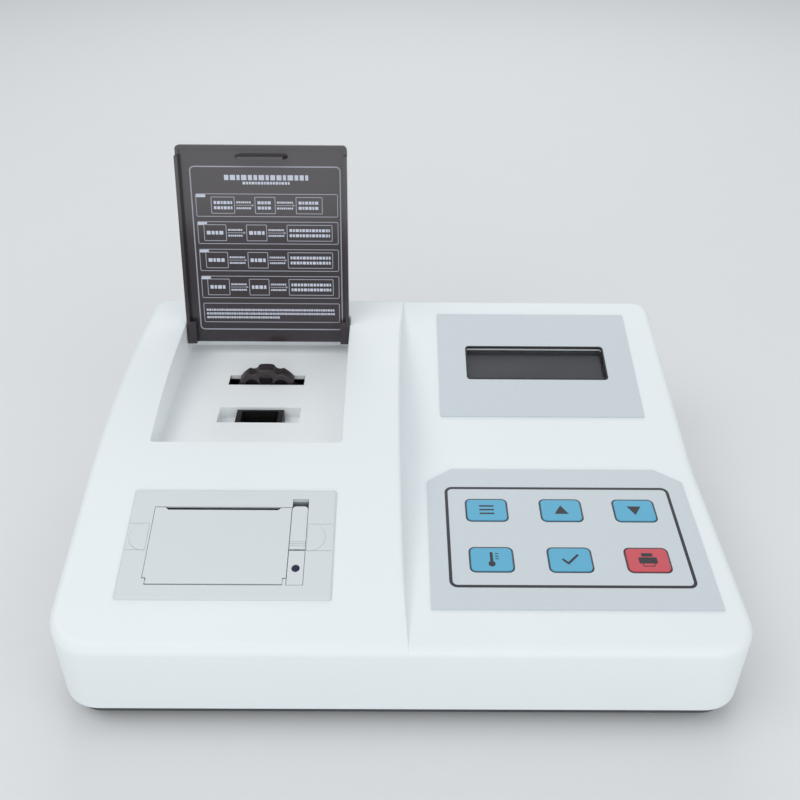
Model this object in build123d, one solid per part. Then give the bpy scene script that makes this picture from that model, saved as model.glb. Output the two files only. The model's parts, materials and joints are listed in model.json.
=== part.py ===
from build123d import *
from math import sin, cos, tan, atan2, radians, degrees, pi
import os

# Desk-top colorimeter for cuvettes, with a flip-up lid over the sample well, a panel printer,
# a display and a six-key pad. Millimetres. While it is modelled, X runs to the right, Y to the
# back and Z up, from the middle of the housing's footprint on the desk.

# Housing
case_depth = 274.0
case_width_front = 358.5
side_taper = 5.75
corner_r_front = 22.0
corner_r_rear = 11.0
wall = 3.0
edge_r = 5.0
cut_over = 20.0
foot_height = 4.0
seam_z = 14.0
front_top_z = 58.7
rear_top_z = 103.9

# Two decks meet at a curved ridge that runs from front to back; each bends once, at its knee
right_knee_z = 68.22
right_knee_r = 80.0
left_knee_share = 0.5573
right_knee_share = 0.4982
left_rear_slope = 0.0
ridge_x_front = 3.0
ridge_x_mid = -0.9
ridge_x_rear = 1.2

# Base tray, its feet and screws, placed in from the housing's sides and ends
tray_inset = 4.0
tray_floor = 3.0
tray_wall = 2.6
tray_bevel = 2.5
tray_lip_height = 6.0
lip_gap = 0.2
foot_r = 9.0
foot_side_inset = 39.25
foot_end_inset = 25.0
boss_r = 4.5
boss_side_inset = 16.25
boss_end_inset = 39.0
post_height = 4.0
screw_r = 1.5
screw_hole_gap = 0.05
screw_head_r = 3.0
screw_head_gap = 0.3
screw_head_height = 2.2
screw_length = 14.0
screw_slot_length = 3.4
screw_slot_width = 0.8

# Sample well: a tub under an opening in the left deck
well_side_margin = 33.45
well_ridge_margin = 35.3
well_rear_margin = 24.6
well_front_share = 0.4453
well_corner_r = 1.5
well_depth = 23.9
tub_gap = 0.05
filter_slot_length = 49.6
filter_slot_width = 11.3
filter_slot_side = 1.35
filter_slot_from_rear = 43.6
grip_recess_length = 51.2
grip_recess_width = 16.0
grip_recess_depth = 8.0
cuvette_side = 0.95
cuvette_from_rear = 82.6

# Lid, measured along and square to its own plane from the hinge axis
hinge_from_rear = 10.9
hinge_drop = 4.4
lid_lean = 13.0
lid_closed_slope = 3.2
lid_front_gap = 1.0
lid_lap = 6.3
lid_tail = 9.5
lid_top = 4.5
lid_thickness = 2.5
lid_skirt = 7.5
lid_wall = 2.2
lid_side_gap = 0.55
lid_rim = 4.0
lid_corner_r = 3.0
lid_edge_r = 0.9
ear_width = 6.0
ear_length = 6.0
ear_drop = 3.0
pin_r = 1.8
pin_gap = 0.05
pin_engage = 2.6
latch_width = 34.0
latch_taper = 2.5
latch_depth = 8.5
latch_thickness = 1.8
catch_drop = 3.0
catch_spacing = 10.0
catch_r = 0.8
catch_height = 4.0
catch_thickness = 1.0
catch_proud = 0.6
catch_gap = 0.1

# Filter wheel and optical bench
wheel_r = 21.0
wheel_width = 9.0
wheel_rise = 10.5
wheel_lobes = 8
lobe_share = 0.62
notch_depth = 2.0
notch_r = 1.4
wheel_bevel = 0.8
filter_r = 4.4
filter_circle_r = 13.5
filter_thickness = 3.0
filter_gap = 0.05
shaft_r = 3.0
shaft_gap = 0.05
cheek_thickness = 3.0
cheek_gap = 4.0
cheek_half_width = 16.0
hub_end_gap = 0.2
bench_drop = 48.0
bench_thickness = 3.0
bench_corner_r = 4.0
bench_x_half = 34.0
bench_front_reach = 66.8
bench_rear_reach = 41.2
bench_post_r = 5.0
holder_length = 29.6
holder_width = 15.4
holder_drop = 1.7
holder_gap = 0.2
holder_foot_x = 6.0
holder_foot_y = 2.0
holder_foot_height = 3.0
pocket_length = 23.0
pocket_width = 12.8
pocket_drop = 38.5
beam_r = 3.0
lamp_block_length = 22.0
lamp_block_width = 22.0
lamp_block_rise = 12.0
lens_r = 6.0
lens_thickness = 3.0
lens_crown_r = 12.0
bulb_r = 4.0
bulb_stem_r = 2.4
detector_height = 34.0
detector_width = 28.0
detector_inset = 6.0
photodiode_r = 4.5
board_thickness = 1.6

# Display, in the rear right deck's own plane
display_ridge_margin = 24.4
display_side_margin = 25.95
display_rear_margin = 16.13
display_height = 91.4
display_corner_r = 0.8
plate_thickness = 1.0
window_side_margin = 18.05
window_front_margin = 31.0
window_height = 30.0
window_r = 2.5
rim_width = 1.0
rim_gap = 0.05
pane_overlap = 2.0
pane_thickness = 1.5
lcd_glass_thickness = 2.2
lcd_frame_thickness = 4.0
lcd_margin = 6.0
lcd_board_margin = 9.0

# Key pad, in the front right deck's own plane
pad_ridge_margin = 14.9
pad_side_margin = 13.75
pad_front_margin = 25.33
pad_knee_gap = 0.5
pad_cut_x = 14.8
pad_cut_a = 10.6
key_column_shares = (0.2211, 0.5033, 0.7822)
key_row_shares = (0.6718, 0.3176)
key_length = 22.5
key_width = 16.0
key_r = 2.5
key_edge_r = 0.4
key_gap = 0.25
key_proud = 0.5
key_travel = 0.4
key_flange = 1.0
key_flange_thickness = 0.8
key_play = 0.2
key_post_r = 3.0
key_post_inset = 3.5
dome_r = 5.0
dome_top_r = 2.5
dome_height = 1.5
dome_gap = 0.05
key_board_margin = 9.0

# Panel printer, in the front left deck's own plane, from its face plate's front left corner
printer_side = 2.225
printer_front_margin = 26.87
printer_knee_gap = 3.1
printer_length = 111.1
printer_width = 65.5
bezel_thickness = 1.5
bezel_bevel = 0.8
bezel_corner_r = 1.2
frame_margin = 4.9
frame_wall = 1.5
frame_depth = 24.0
frame_gap = 0.8
door_x0 = 12.9
door_right_margin = 24.0
door_a0 = 8.6
door_a1 = 54.3
door_thickness = 2.5
door_gap = 0.3
door_axis_a = 10.0
door_axis_h = 0.25
door_pin_r = 0.9
door_open_angle = 75.0
slot_x0 = 18.4
slot_right_margin = 29.7
slot_depth = 1.7
lug_width = 1.7
lug_reach = 3.5
column_left_gap = 0.4
column_width = 8.4
lever_a0 = 28.8
lever_a1 = 55.0
lever_recess_a = 59.6
lever_axis_a = 30.5
lever_axis_h = -0.2
lever_pin_r = 0.7
lever_angle = 30.0
lever_corner_r = 2.0
grip_line_pitch = 1.2
grip_line_width = 0.5
grip_line_depth = 0.3
button_a0 = 8.2
button_a1 = 27.9
button_travel = 0.6
led_a = 17.7
led_r = 1.9
cover_r = 8.0
cover_a = 36.0
cover_depth = 0.8
groove_width = 0.4
groove_depth = 0.3
platen_a = 48.5
platen_h = -7.5
platen_r = 5.0
platen_shaft_r = 1.5
roll_x0 = 21.4
roll_right_margin = 32.7
roll_a = 30.0
roll_h = -25.5
roll_r = 15.0
roll_core_r = 6.0
roll_gap = 0.3
bucket_wall = 1.4
gear_module = 0.5
platen_teeth = 16
drive_teeth = 20
gear_width = 2.0
gear_backlash = 0.12
drive_shaft_r = 0.75
motor_r = 5.8
head_rise = 3.5
head_drop = 5.0

# Rear wall, placed in from its right end
switch_inset = 69.5
switch_z = 42.0
switch_length = 19.0
switch_width = 13.0
switch_flange = 1.6
rocker_tilt = 8.0
rocker_pin_r = 1.2
jack_inset = 38.5
jack_r = 5.5
jack_bore_r = 3.0
jack_depth = 9.0
serial_inset = 118.5
serial_length = 31.0
serial_width = 12.6
serial_hood_half = 8.4
serial_hood_taper = 1.4
serial_hood_height = 8.0
serial_hood_depth = 6.0
serial_pin_pitch = 2.77
serial_pin_r = 0.55
serial_nut_x = 12.5
serial_nut_r = 2.8
serial_nut_depth = 5.5

# Circuit board in the base, placed in from the housing's sides and ends
board_ridge_margin = 14.0
board_side_margin = 23.25
board_front_margin = 41.0
board_rear_margin = 53.0
board_z = 15.0
board_post_r = 3.5
board_post_inset = 6.0
solder_depth = 0.2
chip_side = 22.0
chip_height = 2.4
small_chip_length = 14.0
small_chip_width = 10.0
socket_length = 26.0
socket_width = 8.0
socket_height = 9.0
capacitor_r = 5.0
capacitor_height = 12.0
capacitor_pitch = 14.0

# Places that follow from the sizes above
half_depth = case_depth / 2
half_front = case_width_front / 2
half_rear = half_front - side_taper
left_knee_y = (left_knee_share - 0.5) * case_depth
right_knee_y = (right_knee_share - 0.5) * case_depth
left_front_slope = degrees(atan2(rear_top_z - front_top_z, left_knee_y + half_depth))
right_front_slope = degrees(atan2(right_knee_z - front_top_z, right_knee_y + half_depth))
right_rear_slope = degrees(atan2(rear_top_z - right_knee_z, half_depth - right_knee_y))

foot_x = half_front - foot_side_inset
foot_y = half_depth - foot_end_inset
boss_x = half_front - boss_side_inset
boss_y = half_depth - boss_end_inset

well_x0 = -half_front + well_side_margin
well_x1 = -well_ridge_margin
well_y0 = (well_front_share - 0.5) * case_depth
well_y1 = half_depth - well_rear_margin
well_floor_z = rear_top_z - well_depth
well_middle_x = (well_x0 + well_x1) / 2
filter_slot_x = well_middle_x + filter_slot_side
filter_slot_y = well_y1 - filter_slot_from_rear
cuvette_x = well_middle_x + cuvette_side
cuvette_y = well_y1 - cuvette_from_rear
hinge_y = well_y1 - hinge_from_rear
hinge_z = rear_top_z - hinge_drop
lid_well_reach = (hinge_y - well_y0) / cos(radians(lid_closed_slope)) - lid_front_gap
lid_reach = lid_well_reach + lid_lap

wheel_z = well_floor_z + wheel_rise - wheel_r
beam_z = wheel_z - filter_circle_r
wheel_y0 = filter_slot_y - wheel_width / 2
wheel_y1 = filter_slot_y + wheel_width / 2
bench_z = well_floor_z - bench_drop
bench_y0 = filter_slot_y - bench_front_reach
bench_y1 = filter_slot_y + bench_rear_reach
holder_top_z = well_floor_z - holder_drop
pocket_floor_z = well_floor_z - pocket_drop

display_x0 = display_ridge_margin
display_x1 = half_front - display_side_margin
display_a1 = half_depth / cos(radians(right_rear_slope)) - display_rear_margin
display_a0 = display_a1 - display_height
window_x0 = display_x0 + window_side_margin
window_x1 = display_x1 - window_side_margin
window_a0 = display_a0 + window_front_margin
window_a1 = window_a0 + window_height

right_knee_reach = right_knee_r * tan(radians((right_rear_slope - right_front_slope) / 2))
pad_x0 = pad_ridge_margin
pad_x1 = half_front - pad_side_margin
pad_a0 = -half_depth / cos(radians(right_front_slope)) + pad_front_margin
pad_a1 = right_knee_y / cos(radians(right_front_slope)) - right_knee_reach - pad_knee_gap
key_columns = [pad_x0 + share * (pad_x1 - pad_x0) for share in key_column_shares]
key_rows = [pad_a0 + share * (pad_a1 - pad_a0) for share in key_row_shares]

printer_x = -half_front / 2 - printer_side - printer_length / 2
printer_a = -half_depth / cos(radians(left_front_slope)) + printer_front_margin
frame_x0 = frame_margin
frame_x1 = printer_length - frame_margin
frame_a0 = frame_margin
frame_a1 = printer_width - frame_margin
door_x1 = printer_length - door_right_margin
slot_x1 = printer_length - slot_right_margin
roll_x1 = printer_length - roll_right_margin
column_x0 = door_x1 + column_left_gap
column_x1 = column_x0 + column_width
left_knee_reach = ((left_knee_y + half_depth) / cos(radians(left_front_slope))
                   - printer_front_margin - printer_width - printer_knee_gap)
left_knee_r = left_knee_reach / tan(radians((left_front_slope - left_rear_slope) / 2))

switch_x = half_rear - switch_inset
jack_x = half_rear - jack_inset
serial_x = half_rear - serial_inset
board_x0 = board_ridge_margin
board_x1 = half_front - board_side_margin
board_y0 = -half_depth + board_front_margin
board_y1 = half_depth - board_rear_margin


def box(x0, x1, y0, y1, z0, z1):
    return Pos((x0 + x1) / 2, (y0 + y1) / 2, (z0 + z1) / 2) * Box(x1 - x0, y1 - y0, z1 - z0)


def slab(x0, x1, y0, y1, z0, z1, r):
    face = Pos((x0 + x1) / 2, (y0 + y1) / 2) * RectangleRounded(x1 - x0, y1 - y0, r)
    return extrude(Pos(0, 0, z0) * face, z1 - z0)


def rod_x(x0, x1, y, z, r):
    return Pos((x0 + x1) / 2, y, z) * Rot(0, 90, 0) * Cylinder(r, x1 - x0)


def rod_y(x, y0, y1, z, r):
    return Pos(x, (y0 + y1) / 2, z) * Rot(90, 0, 0) * Cylinder(r, y1 - y0)


def rod_z(x, y, z0, z1, r):
    return Pos(x, y, (z0 + z1) / 2) * Cylinder(r, z1 - z0)


def prism_x(points, x0, x1):
    """Solid with an outline in the Y-Z plane, carried from x0 to x1."""
    face = make_face(Polyline([(y, z) for y, z in points], close=True))
    return extrude(Plane(origin=(x0, 0, 0), x_dir=(0, 1, 0), z_dir=(1, 0, 0)) * face, x1 - x0)


# The housing's outline and decks

def plan_face(inset):
    front = half_front - inset
    rear = half_rear - inset
    depth = half_depth - inset
    face = make_face(Polyline((-front, -depth), (front, -depth), (rear, depth), (-rear, depth), close=True))
    face = fillet(face.vertices().group_by(Axis.Y)[0], corner_r_front - inset)
    return fillet(face.vertices().group_by(Axis.Y)[-1], corner_r_rear - inset)


def plan_prism(inset, z0, z1):
    return extrude(Pos(0, 0, z0) * plan_face(inset), z1 - z0)


def deck_body(front_slope, rear_slope, knee_r, inset, z0):
    """All that lies under one deck: two flat runs with an arc at the knee, lowered by inset."""
    front_a, rear_a = radians(front_slope), radians(rear_slope)
    front_z = front_top_z - inset / cos(front_a)
    rear_z = rear_top_z - inset / cos(rear_a)
    fall = rear_z - front_z - case_depth * tan(rear_a)
    knee_y = -half_depth + fall / (tan(front_a) - tan(rear_a))
    knee_z = front_z + (knee_y + half_depth) * tan(front_a)
    turn = (front_a - rear_a) / 2
    side = 1 if turn > 0 else -1
    arc_r = knee_r - side * inset
    reach = arc_r * tan(abs(turn))
    drop = side * arc_r * (1 / cos(turn) - 1)
    mid_a = (front_a + rear_a) / 2
    start = (knee_y - reach * cos(front_a), knee_z - reach * sin(front_a))
    middle = (knee_y + drop * sin(mid_a), knee_z - drop * cos(mid_a))
    end = (knee_y + reach * cos(rear_a), knee_z + reach * sin(rear_a))
    beyond = cut_over
    front_end = (-half_depth - beyond, front_z - beyond * tan(front_a))
    rear_end = (half_depth + beyond, rear_z + beyond * tan(rear_a))
    outline = [
        Line(front_end, start),
        ThreePointArc(start, middle, end),
        Line(end, rear_end),
        Polyline(rear_end, (rear_end[0], z0), (front_end[0], z0), front_end),
    ]
    face = make_face(Wire(sum(outline, Curve()).edges()))
    half_width = case_width_front / 2 + beyond
    plane = Plane(origin=(-half_width, 0, 0), x_dir=(0, 1, 0), z_dir=(1, 0, 0))
    return extrude(plane * face, 2 * half_width)


def ridge_x(y):
    """Where the ridge line runs, as a shallow bow through its front, middle and rear places."""
    along = y / half_depth
    bow = (ridge_x_front + ridge_x_rear) / 2 - ridge_x_mid
    skew = (ridge_x_rear - ridge_x_front) / 2
    return ridge_x_mid + bow * along ** 2 + skew * along


def ridge_prism(offset, z0, z1):
    """The space to the left of the ridge line, moved sideways by offset."""
    far = -case_width_front
    reach = half_depth + 15
    front = (ridge_x(-reach) + offset, -reach)
    rear = (ridge_x(reach) + offset, reach)
    edges = [
        ThreePointArc(front, (ridge_x(0) + offset, 0), rear),
        Polyline(rear, (far, reach), (far, -reach), front),
    ]
    face = make_face(Wire(sum(edges, Curve()).edges()))
    return extrude(Pos(0, 0, z0) * face, z1 - z0)


def left_deck(inset, z0):
    return deck_body(left_front_slope, left_rear_slope, left_knee_r, inset, z0)


def right_deck(inset, z0):
    return deck_body(right_front_slope, right_rear_slope, right_knee_r, inset, z0)


def rim_edges(solid):
    """Edges round the top of a deck, without the knee lines and the upright corner lines."""
    chosen = []
    for edge in solid.edges():
        middle = edge.center()
        upright = abs(edge.tangent_at(0.5).Z) > 0.9
        knee_line = abs(middle.X) < 1 and abs(middle.Y) < half_depth - edge_r
        if middle.Z > seam_z + edge_r and not upright and not knee_line:
            chosen.append(edge)
    return chosen


def outer_form():
    top_z = rear_top_z + cut_over
    left = plan_prism(0, seam_z, top_z) & left_deck(0, seam_z)
    right = plan_prism(0, seam_z, top_z) & right_deck(0, seam_z)
    left = fillet(rim_edges(left), edge_r)
    right = fillet(rim_edges(right), edge_r)
    left_side = ridge_prism(0, 0, top_z + 10)
    return (left & left_side) + (right - left_side)


def inner_form():
    top_z = rear_top_z + cut_over
    low = plan_prism(wall, seam_z - 1, top_z) & right_deck(wall, seam_z - 1)
    high = plan_prism(wall, seam_z - 1, top_z) & left_deck(wall, seam_z - 1)
    return low + (high & ridge_prism(-wall, 0, top_z + 10))


def slope_plane(slope, z_at_middle):
    """Plane of one deck: local x to the right, local y up the slope, local z out of the deck."""
    a = radians(slope)
    return Plane(origin=(0, 0, z_at_middle), x_dir=(1, 0, 0), z_dir=(0, -sin(a), cos(a)))


pad_plane = slope_plane(right_front_slope, front_top_z + half_depth * tan(radians(right_front_slope)))
display_plane = slope_plane(right_rear_slope, rear_top_z - half_depth * tan(radians(right_rear_slope)))
left_plane = slope_plane(left_front_slope, front_top_z + half_depth * tan(radians(left_front_slope)))
printer_corner = left_plane.from_local_coords(Vector(printer_x, printer_a, 0))
printer_plane = Plane(origin=printer_corner, x_dir=left_plane.x_dir, z_dir=left_plane.z_dir)


def on(plane, shape):
    return plane.location * shape


def key_places():
    return [(x, a) for a in key_rows for x in key_columns]


# Housing pieces

def sample_well():
    """Tub under the left deck: four walls, a floor with the filter slot, and the sunk cuvette recess."""
    grip_z = well_floor_z - grip_recess_depth
    tub = box(well_x0 - wall, well_x1 + wall, well_y0 - wall, well_y1 + wall, well_floor_z - wall, rear_top_z)
    tub += box(cuvette_x - grip_recess_length / 2 - wall, cuvette_x + grip_recess_length / 2 + wall,
               cuvette_y - grip_recess_width / 2 - wall, cuvette_y + grip_recess_width / 2 + wall,
               grip_z - wall, well_floor_z - wall)
    tub &= left_deck(wall + tub_gap, grip_z - 2 * wall)
    tub -= well_opening()
    tub -= box(filter_slot_x - filter_slot_length / 2, filter_slot_x + filter_slot_length / 2,
               filter_slot_y - filter_slot_width / 2, filter_slot_y + filter_slot_width / 2,
               well_floor_z - 2 * wall, well_floor_z + wall)
    tub -= box(cuvette_x - grip_recess_length / 2, cuvette_x + grip_recess_length / 2,
               cuvette_y - grip_recess_width / 2, cuvette_y + grip_recess_width / 2,
               grip_z, well_floor_z + wall)
    tub -= box(cuvette_x - holder_length / 2 - holder_gap, cuvette_x + holder_length / 2 + holder_gap,
               cuvette_y - holder_width / 2 - holder_gap, cuvette_y + holder_width / 2 + holder_gap,
               grip_z - 2 * wall, grip_z + wall)
    for side in (-1, 1):
        tub -= catch_bore(side)
    return tub - hinge_bore()


def well_opening():
    return slab(well_x0, well_x1, well_y0, well_y1, well_floor_z, rear_top_z + wall, well_corner_r)


def hinge_bore():
    reach = pin_engage + holder_gap
    return rod_x(well_x0 - reach, well_x1 + reach, hinge_y, hinge_z, pin_r + pin_gap)


def catch_bore(side):
    return rod_y(cuvette_x + side * catch_spacing / 2, well_y0 - 2 * wall, well_y0 + wall, catch_z(), catch_r + pin_gap)


def catch_recess():
    back = well_y0 - wall
    return box(cuvette_x - catch_spacing - catch_gap, cuvette_x + catch_spacing + catch_gap,
               back - catch_thickness - catch_gap, back,
               catch_z() - catch_height - catch_gap, catch_z() + catch_r + catch_gap)


def catch_z():
    return deck_height_left(well_y0) - catch_drop


def deck_height_left(y):
    """Height of the left deck over a place behind the front edge and ahead of the knee's end."""
    front_a, rear_a = radians(left_front_slope), radians(left_rear_slope)
    fall = rear_top_z - front_top_z - case_depth * tan(rear_a)
    knee_y = -half_depth + fall / (tan(front_a) - tan(rear_a))
    knee_z = front_top_z + (knee_y + half_depth) * tan(front_a)
    reach = left_knee_r * tan((front_a - rear_a) / 2)
    centre_y = knee_y + reach * cos(rear_a) + left_knee_r * sin(rear_a)
    centre_z = knee_z + reach * sin(rear_a) - left_knee_r * cos(rear_a)
    if y > knee_y + reach * cos(rear_a):
        return rear_top_z - (half_depth - y) * tan(rear_a)
    if y < knee_y - reach * cos(front_a):
        return front_top_z + (y + half_depth) * tan(front_a)
    return centre_z + (left_knee_r ** 2 - (y - centre_y) ** 2) ** 0.5


def deck_cuts():
    cuts = on(display_plane, slab(window_x0, window_x1, window_a0, window_a1, -wall - 2, 2, window_r))
    for x, a in key_places():
        hole = slab(x - key_length / 2 - key_gap, x + key_length / 2 + key_gap,
                    a - key_width / 2 - key_gap, a + key_width / 2 + key_gap, -wall - 2, 2, key_r)
        cuts += on(pad_plane, hole)
    opening = box(frame_x0 - frame_gap, frame_x1 + frame_gap, frame_a0 - frame_gap, frame_a1 + frame_gap,
                  -wall - 12, 8)
    cuts += on(printer_plane, opening)
    return cuts


def rear_cuts():
    y0, y1 = half_depth - wall - 2, half_depth + 2
    cuts = box(switch_x - switch_length / 2, switch_x + switch_length / 2, y0, y1,
               switch_z - switch_width / 2, switch_z + switch_width / 2)
    cuts += rod_y(jack_x, y0, y1, switch_z, jack_r)
    cuts += box(serial_x - serial_length / 2 + 5, serial_x + serial_length / 2 - 5, y0, y1,
                switch_z - serial_width / 2 + 1.2, switch_z + serial_width / 2 - 1.2)
    return cuts


def boss_places():
    return [(sx * boss_x, sy * boss_y) for sx in (-1, 1) for sy in (-1, 1)]


def key_post_places():
    x0, x1 = min(key_columns) - key_length / 2, max(key_columns) + key_length / 2
    a0, a1 = min(key_rows) - key_width / 2, max(key_rows) + key_width / 2
    reach = key_board_margin - key_post_inset
    return [(x, a) for x in (x0 - reach, x1 + reach) for a in (a0 - reach, a1 + reach)]


def key_board_top():
    return -wall - key_play - key_flange_thickness - key_travel - dome_gap - dome_height


def upper_shell():
    outer = outer_form()
    shell = outer - inner_form()
    for x, y in boss_places():
        boss = rod_z(x, y, tray_top_of_post(), rear_top_z, boss_r)
        shell += boss & outer
    for x, a in key_post_places():
        shell += on(pad_plane, rod_z(x, a, key_board_top(), -wall / 2, key_post_r))
    shell -= well_opening()
    shell -= hinge_bore()
    shell -= catch_recess()
    for side in (-1, 1):
        shell -= catch_bore(side)
    shell -= deck_cuts()
    shell -= rear_cuts()
    for x, y in boss_places():
        shell -= rod_z(x, y, tray_top_of_post() - 1, tray_top_of_post() + screw_length, screw_r + screw_hole_gap)
    return shell


def tray_top_of_post():
    return seam_z + post_height


def base_tray():
    floor_top = foot_height + tray_floor
    body = plan_prism(tray_inset, foot_height, seam_z)
    low = body.faces().sort_by(Axis.Z)[0].edges()
    body = chamfer(low, tray_bevel)
    body -= plan_prism(tray_inset + tray_wall, floor_top, seam_z + 1)
    lip = plan_prism(wall + lip_gap, seam_z, seam_z + tray_lip_height)
    lip -= plan_prism(wall + lip_gap + tray_wall, seam_z - 1, seam_z + tray_lip_height + 1)
    ledge = plan_prism(wall + lip_gap, seam_z - 2, seam_z)
    ledge -= plan_prism(wall + lip_gap + tray_wall, seam_z - 3, seam_z + 1)
    tray = body + (ledge & plan_prism(tray_inset, 0, seam_z + 1)) + lip
    for x, y in boss_places():
        tray += rod_z(x, y, floor_top - 1, tray_top_of_post(), boss_r)
    for x, y in boss_places():
        tray -= rod_z(x, y, 0, tray_top_of_post() + 1, screw_r + screw_hole_gap)
        tray -= rod_z(x, y, 0, foot_height + tray_floor, screw_head_r + screw_head_gap)
    for x, y in board_posts():
        tray += rod_z(x, y, floor_top - 1, board_z, board_post_r)
    for x, y in bench_posts():
        tray += rod_z(x, y, floor_top - 1, bench_z, bench_post_r)
    return tray


def board_posts():
    inset = board_post_inset
    return [(x, y) for x in (board_x0 + inset, board_x1 - inset) for y in (board_y0 + inset, board_y1 - inset)]


def bench_posts():
    x = bench_x_half - bench_post_r
    return [(filter_slot_x + sx * x, y) for sx in (-1, 1) for y in (bench_y0 + bench_post_r, bench_y1 - bench_post_r)]


def rubber_feet():
    feet = []
    for sx in (-1, 1):
        for sy in (-1, 1):
            foot = Pos(sx * foot_x, sy * foot_y, foot_height / 2) * Cone(foot_r - 1, foot_r, foot_height)
            feet.append(foot)
    return Compound(children=feet)


def case_screws():
    screws = []
    head_top = foot_height + tray_floor
    for x, y in boss_places():
        head = rod_z(x, y, head_top - screw_head_height, head_top, screw_head_r)
        recess = Pos(x, y, head_top - screw_head_height) * Box(screw_slot_length, screw_slot_width, screw_head_height)
        shank = rod_z(x, y, head_top, head_top + screw_length, screw_r)
        screws.append(head - recess + shank)
    return Compound(children=screws)


# Lid over the sample well

def lid_half():
    return (well_x1 - well_x0) / 2 - lid_side_gap


def lid_solid():
    """The lid in its own frame: x across, y from the hinge towards the free edge, z outwards."""
    half = lid_half()
    underside = lid_top - lid_thickness
    panel = slab(-half, half, -lid_tail, lid_reach, underside, lid_top, lid_corner_r)
    panel = fillet(panel.faces().sort_by(Axis.Z)[-1].edges(), lid_edge_r)
    deep = slab(-half, half, -lid_tail, lid_reach, lid_top - lid_skirt, underside, lid_corner_r)
    deep -= slab(-half + lid_wall, half - lid_wall, -lid_tail - 9, lid_reach - lid_wall,
                 lid_top - lid_skirt - 1, underside + 1, 1.0)
    deep -= box(-half - 1, half + 1, lid_well_reach, lid_reach + 1, lid_top - lid_skirt - 1, lid_top - lid_rim)
    deep -= box(-half - 1, half + 1, lid_well_reach, lid_reach - lid_wall, lid_top - lid_skirt - 1, underside - 1)
    lid = panel + deep
    for side in (-1, 1):
        ear_x = side * (half - ear_width / 2)
        ear = box(ear_x - ear_width / 2, ear_x + ear_width / 2, -lid_tail, ear_length, -ear_drop, underside)
        lid += ear
        pin_ends = sorted((side * (half - 0.3), side * (half + pin_engage)))
        lid += rod_x(pin_ends[0], pin_ends[1], 0, 0, pin_r)
    tab_top = underside + lid_thickness / 4
    tab_bottom = underside - latch_depth
    narrow = latch_width / 2 - latch_taper
    tab = extrude(make_face(Polyline(
        (-latch_width / 2, tab_top), (latch_width / 2, tab_top), (narrow, tab_bottom), (-narrow, tab_bottom),
        close=True)), latch_thickness)
    tab = Pos(0, lid_well_reach, 0) * Rot(90, 0, 0) * tab
    return lid + tab


def lid_at(angle_from_closed):
    """Lid placed on its hinge; 0 is shut."""
    turn = 180 + lid_closed_slope - angle_from_closed
    frame = Plane(origin=((well_x0 + well_x1) / 2, hinge_y, hinge_z),
                  x_dir=(-1, 0, 0),
                  z_dir=(0, sin(radians(turn)), -cos(radians(turn))))
    return frame.location * lid_solid()


def lid_open_angle():
    return 90 + lid_closed_slope + lid_lean


def chamber_lid():
    return lid_at(lid_open_angle())


def lid_catch():
    """Spring clip behind the well's front wall, with two round noses that hold the lid's tab."""
    back = well_y0 - wall
    clip = box(cuvette_x - catch_spacing, cuvette_x + catch_spacing, back - catch_thickness, back,
               catch_z() - catch_height, catch_z() + catch_r)
    for side in (-1, 1):
        clip += rod_y(cuvette_x + side * catch_spacing / 2, back - catch_thickness / 2, well_y0 + catch_proud, catch_z(), catch_r)
    return clip


# Filter wheel and optics

def filter_angles():
    return [90 + 360 / wheel_lobes * i for i in range(wheel_lobes)]


def wheel_point(angle, r):
    return (r * cos(radians(angle)), r * sin(radians(angle)))


def wheel_outline():
    """Round lobes with a shallow hollow between each two, lobe by lobe."""
    pitch = 360 / wheel_lobes
    half_lobe = pitch * lobe_share / 2
    arcs = []
    for angle in filter_angles():
        start = wheel_point(angle - half_lobe, wheel_r)
        end = wheel_point(angle + half_lobe, wheel_r)
        arcs.append(ThreePointArc(start, wheel_point(angle, wheel_r), end))
        arcs.append(ThreePointArc(end, wheel_point(angle + pitch / 2, wheel_r - notch_depth),
                                  wheel_point(angle + pitch - half_lobe, wheel_r)))
    face = make_face(Wire(sum(arcs, Curve()).edges()))
    return fillet(face.vertices(), notch_r)


def filter_wheel():
    plane = Plane(origin=(filter_slot_x, wheel_y0, wheel_z), x_dir=(1, 0, 0), z_dir=(0, -1, 0))
    wheel = extrude(plane * wheel_outline(), -wheel_width)
    for side in (Axis.Y, -Axis.Y):
        rims = wheel.faces().sort_by(side)[-1].edges()
        wheel = chamfer(rims, wheel_bevel)
    hub_end = cheek_gap - hub_end_gap
    wheel += rod_y(filter_slot_x, wheel_y0 - hub_end, wheel_y1 + hub_end, wheel_z, 2 * shaft_r)
    wheel -= rod_y(filter_slot_x, wheel_y0 - 2 * hub_end, wheel_y1 + 2 * hub_end, wheel_z, shaft_r + shaft_gap)
    for angle in filter_angles():
        x, z = wheel_point(angle, filter_circle_r)
        wheel -= rod_y(filter_slot_x + x, wheel_y0 - 1, wheel_y1 + 1, wheel_z + z, filter_r + filter_gap)
    return wheel


def wheel_filters():
    discs = []
    for angle in filter_angles():
        x, z = wheel_point(angle, filter_circle_r)
        discs.append(rod_y(filter_slot_x + x, filter_slot_y - filter_thickness / 2,
                           filter_slot_y + filter_thickness / 2, wheel_z + z, filter_r))
    return Compound(children=discs)


def cheek_spans():
    return [(wheel_y0 - cheek_gap - cheek_thickness, wheel_y0 - cheek_gap),
            (wheel_y1 + cheek_gap, wheel_y1 + cheek_gap + cheek_thickness)]


def wheel_shaft():
    spans = cheek_spans()
    return rod_y(filter_slot_x, spans[0][0], spans[1][1], wheel_z, shaft_r)


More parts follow.
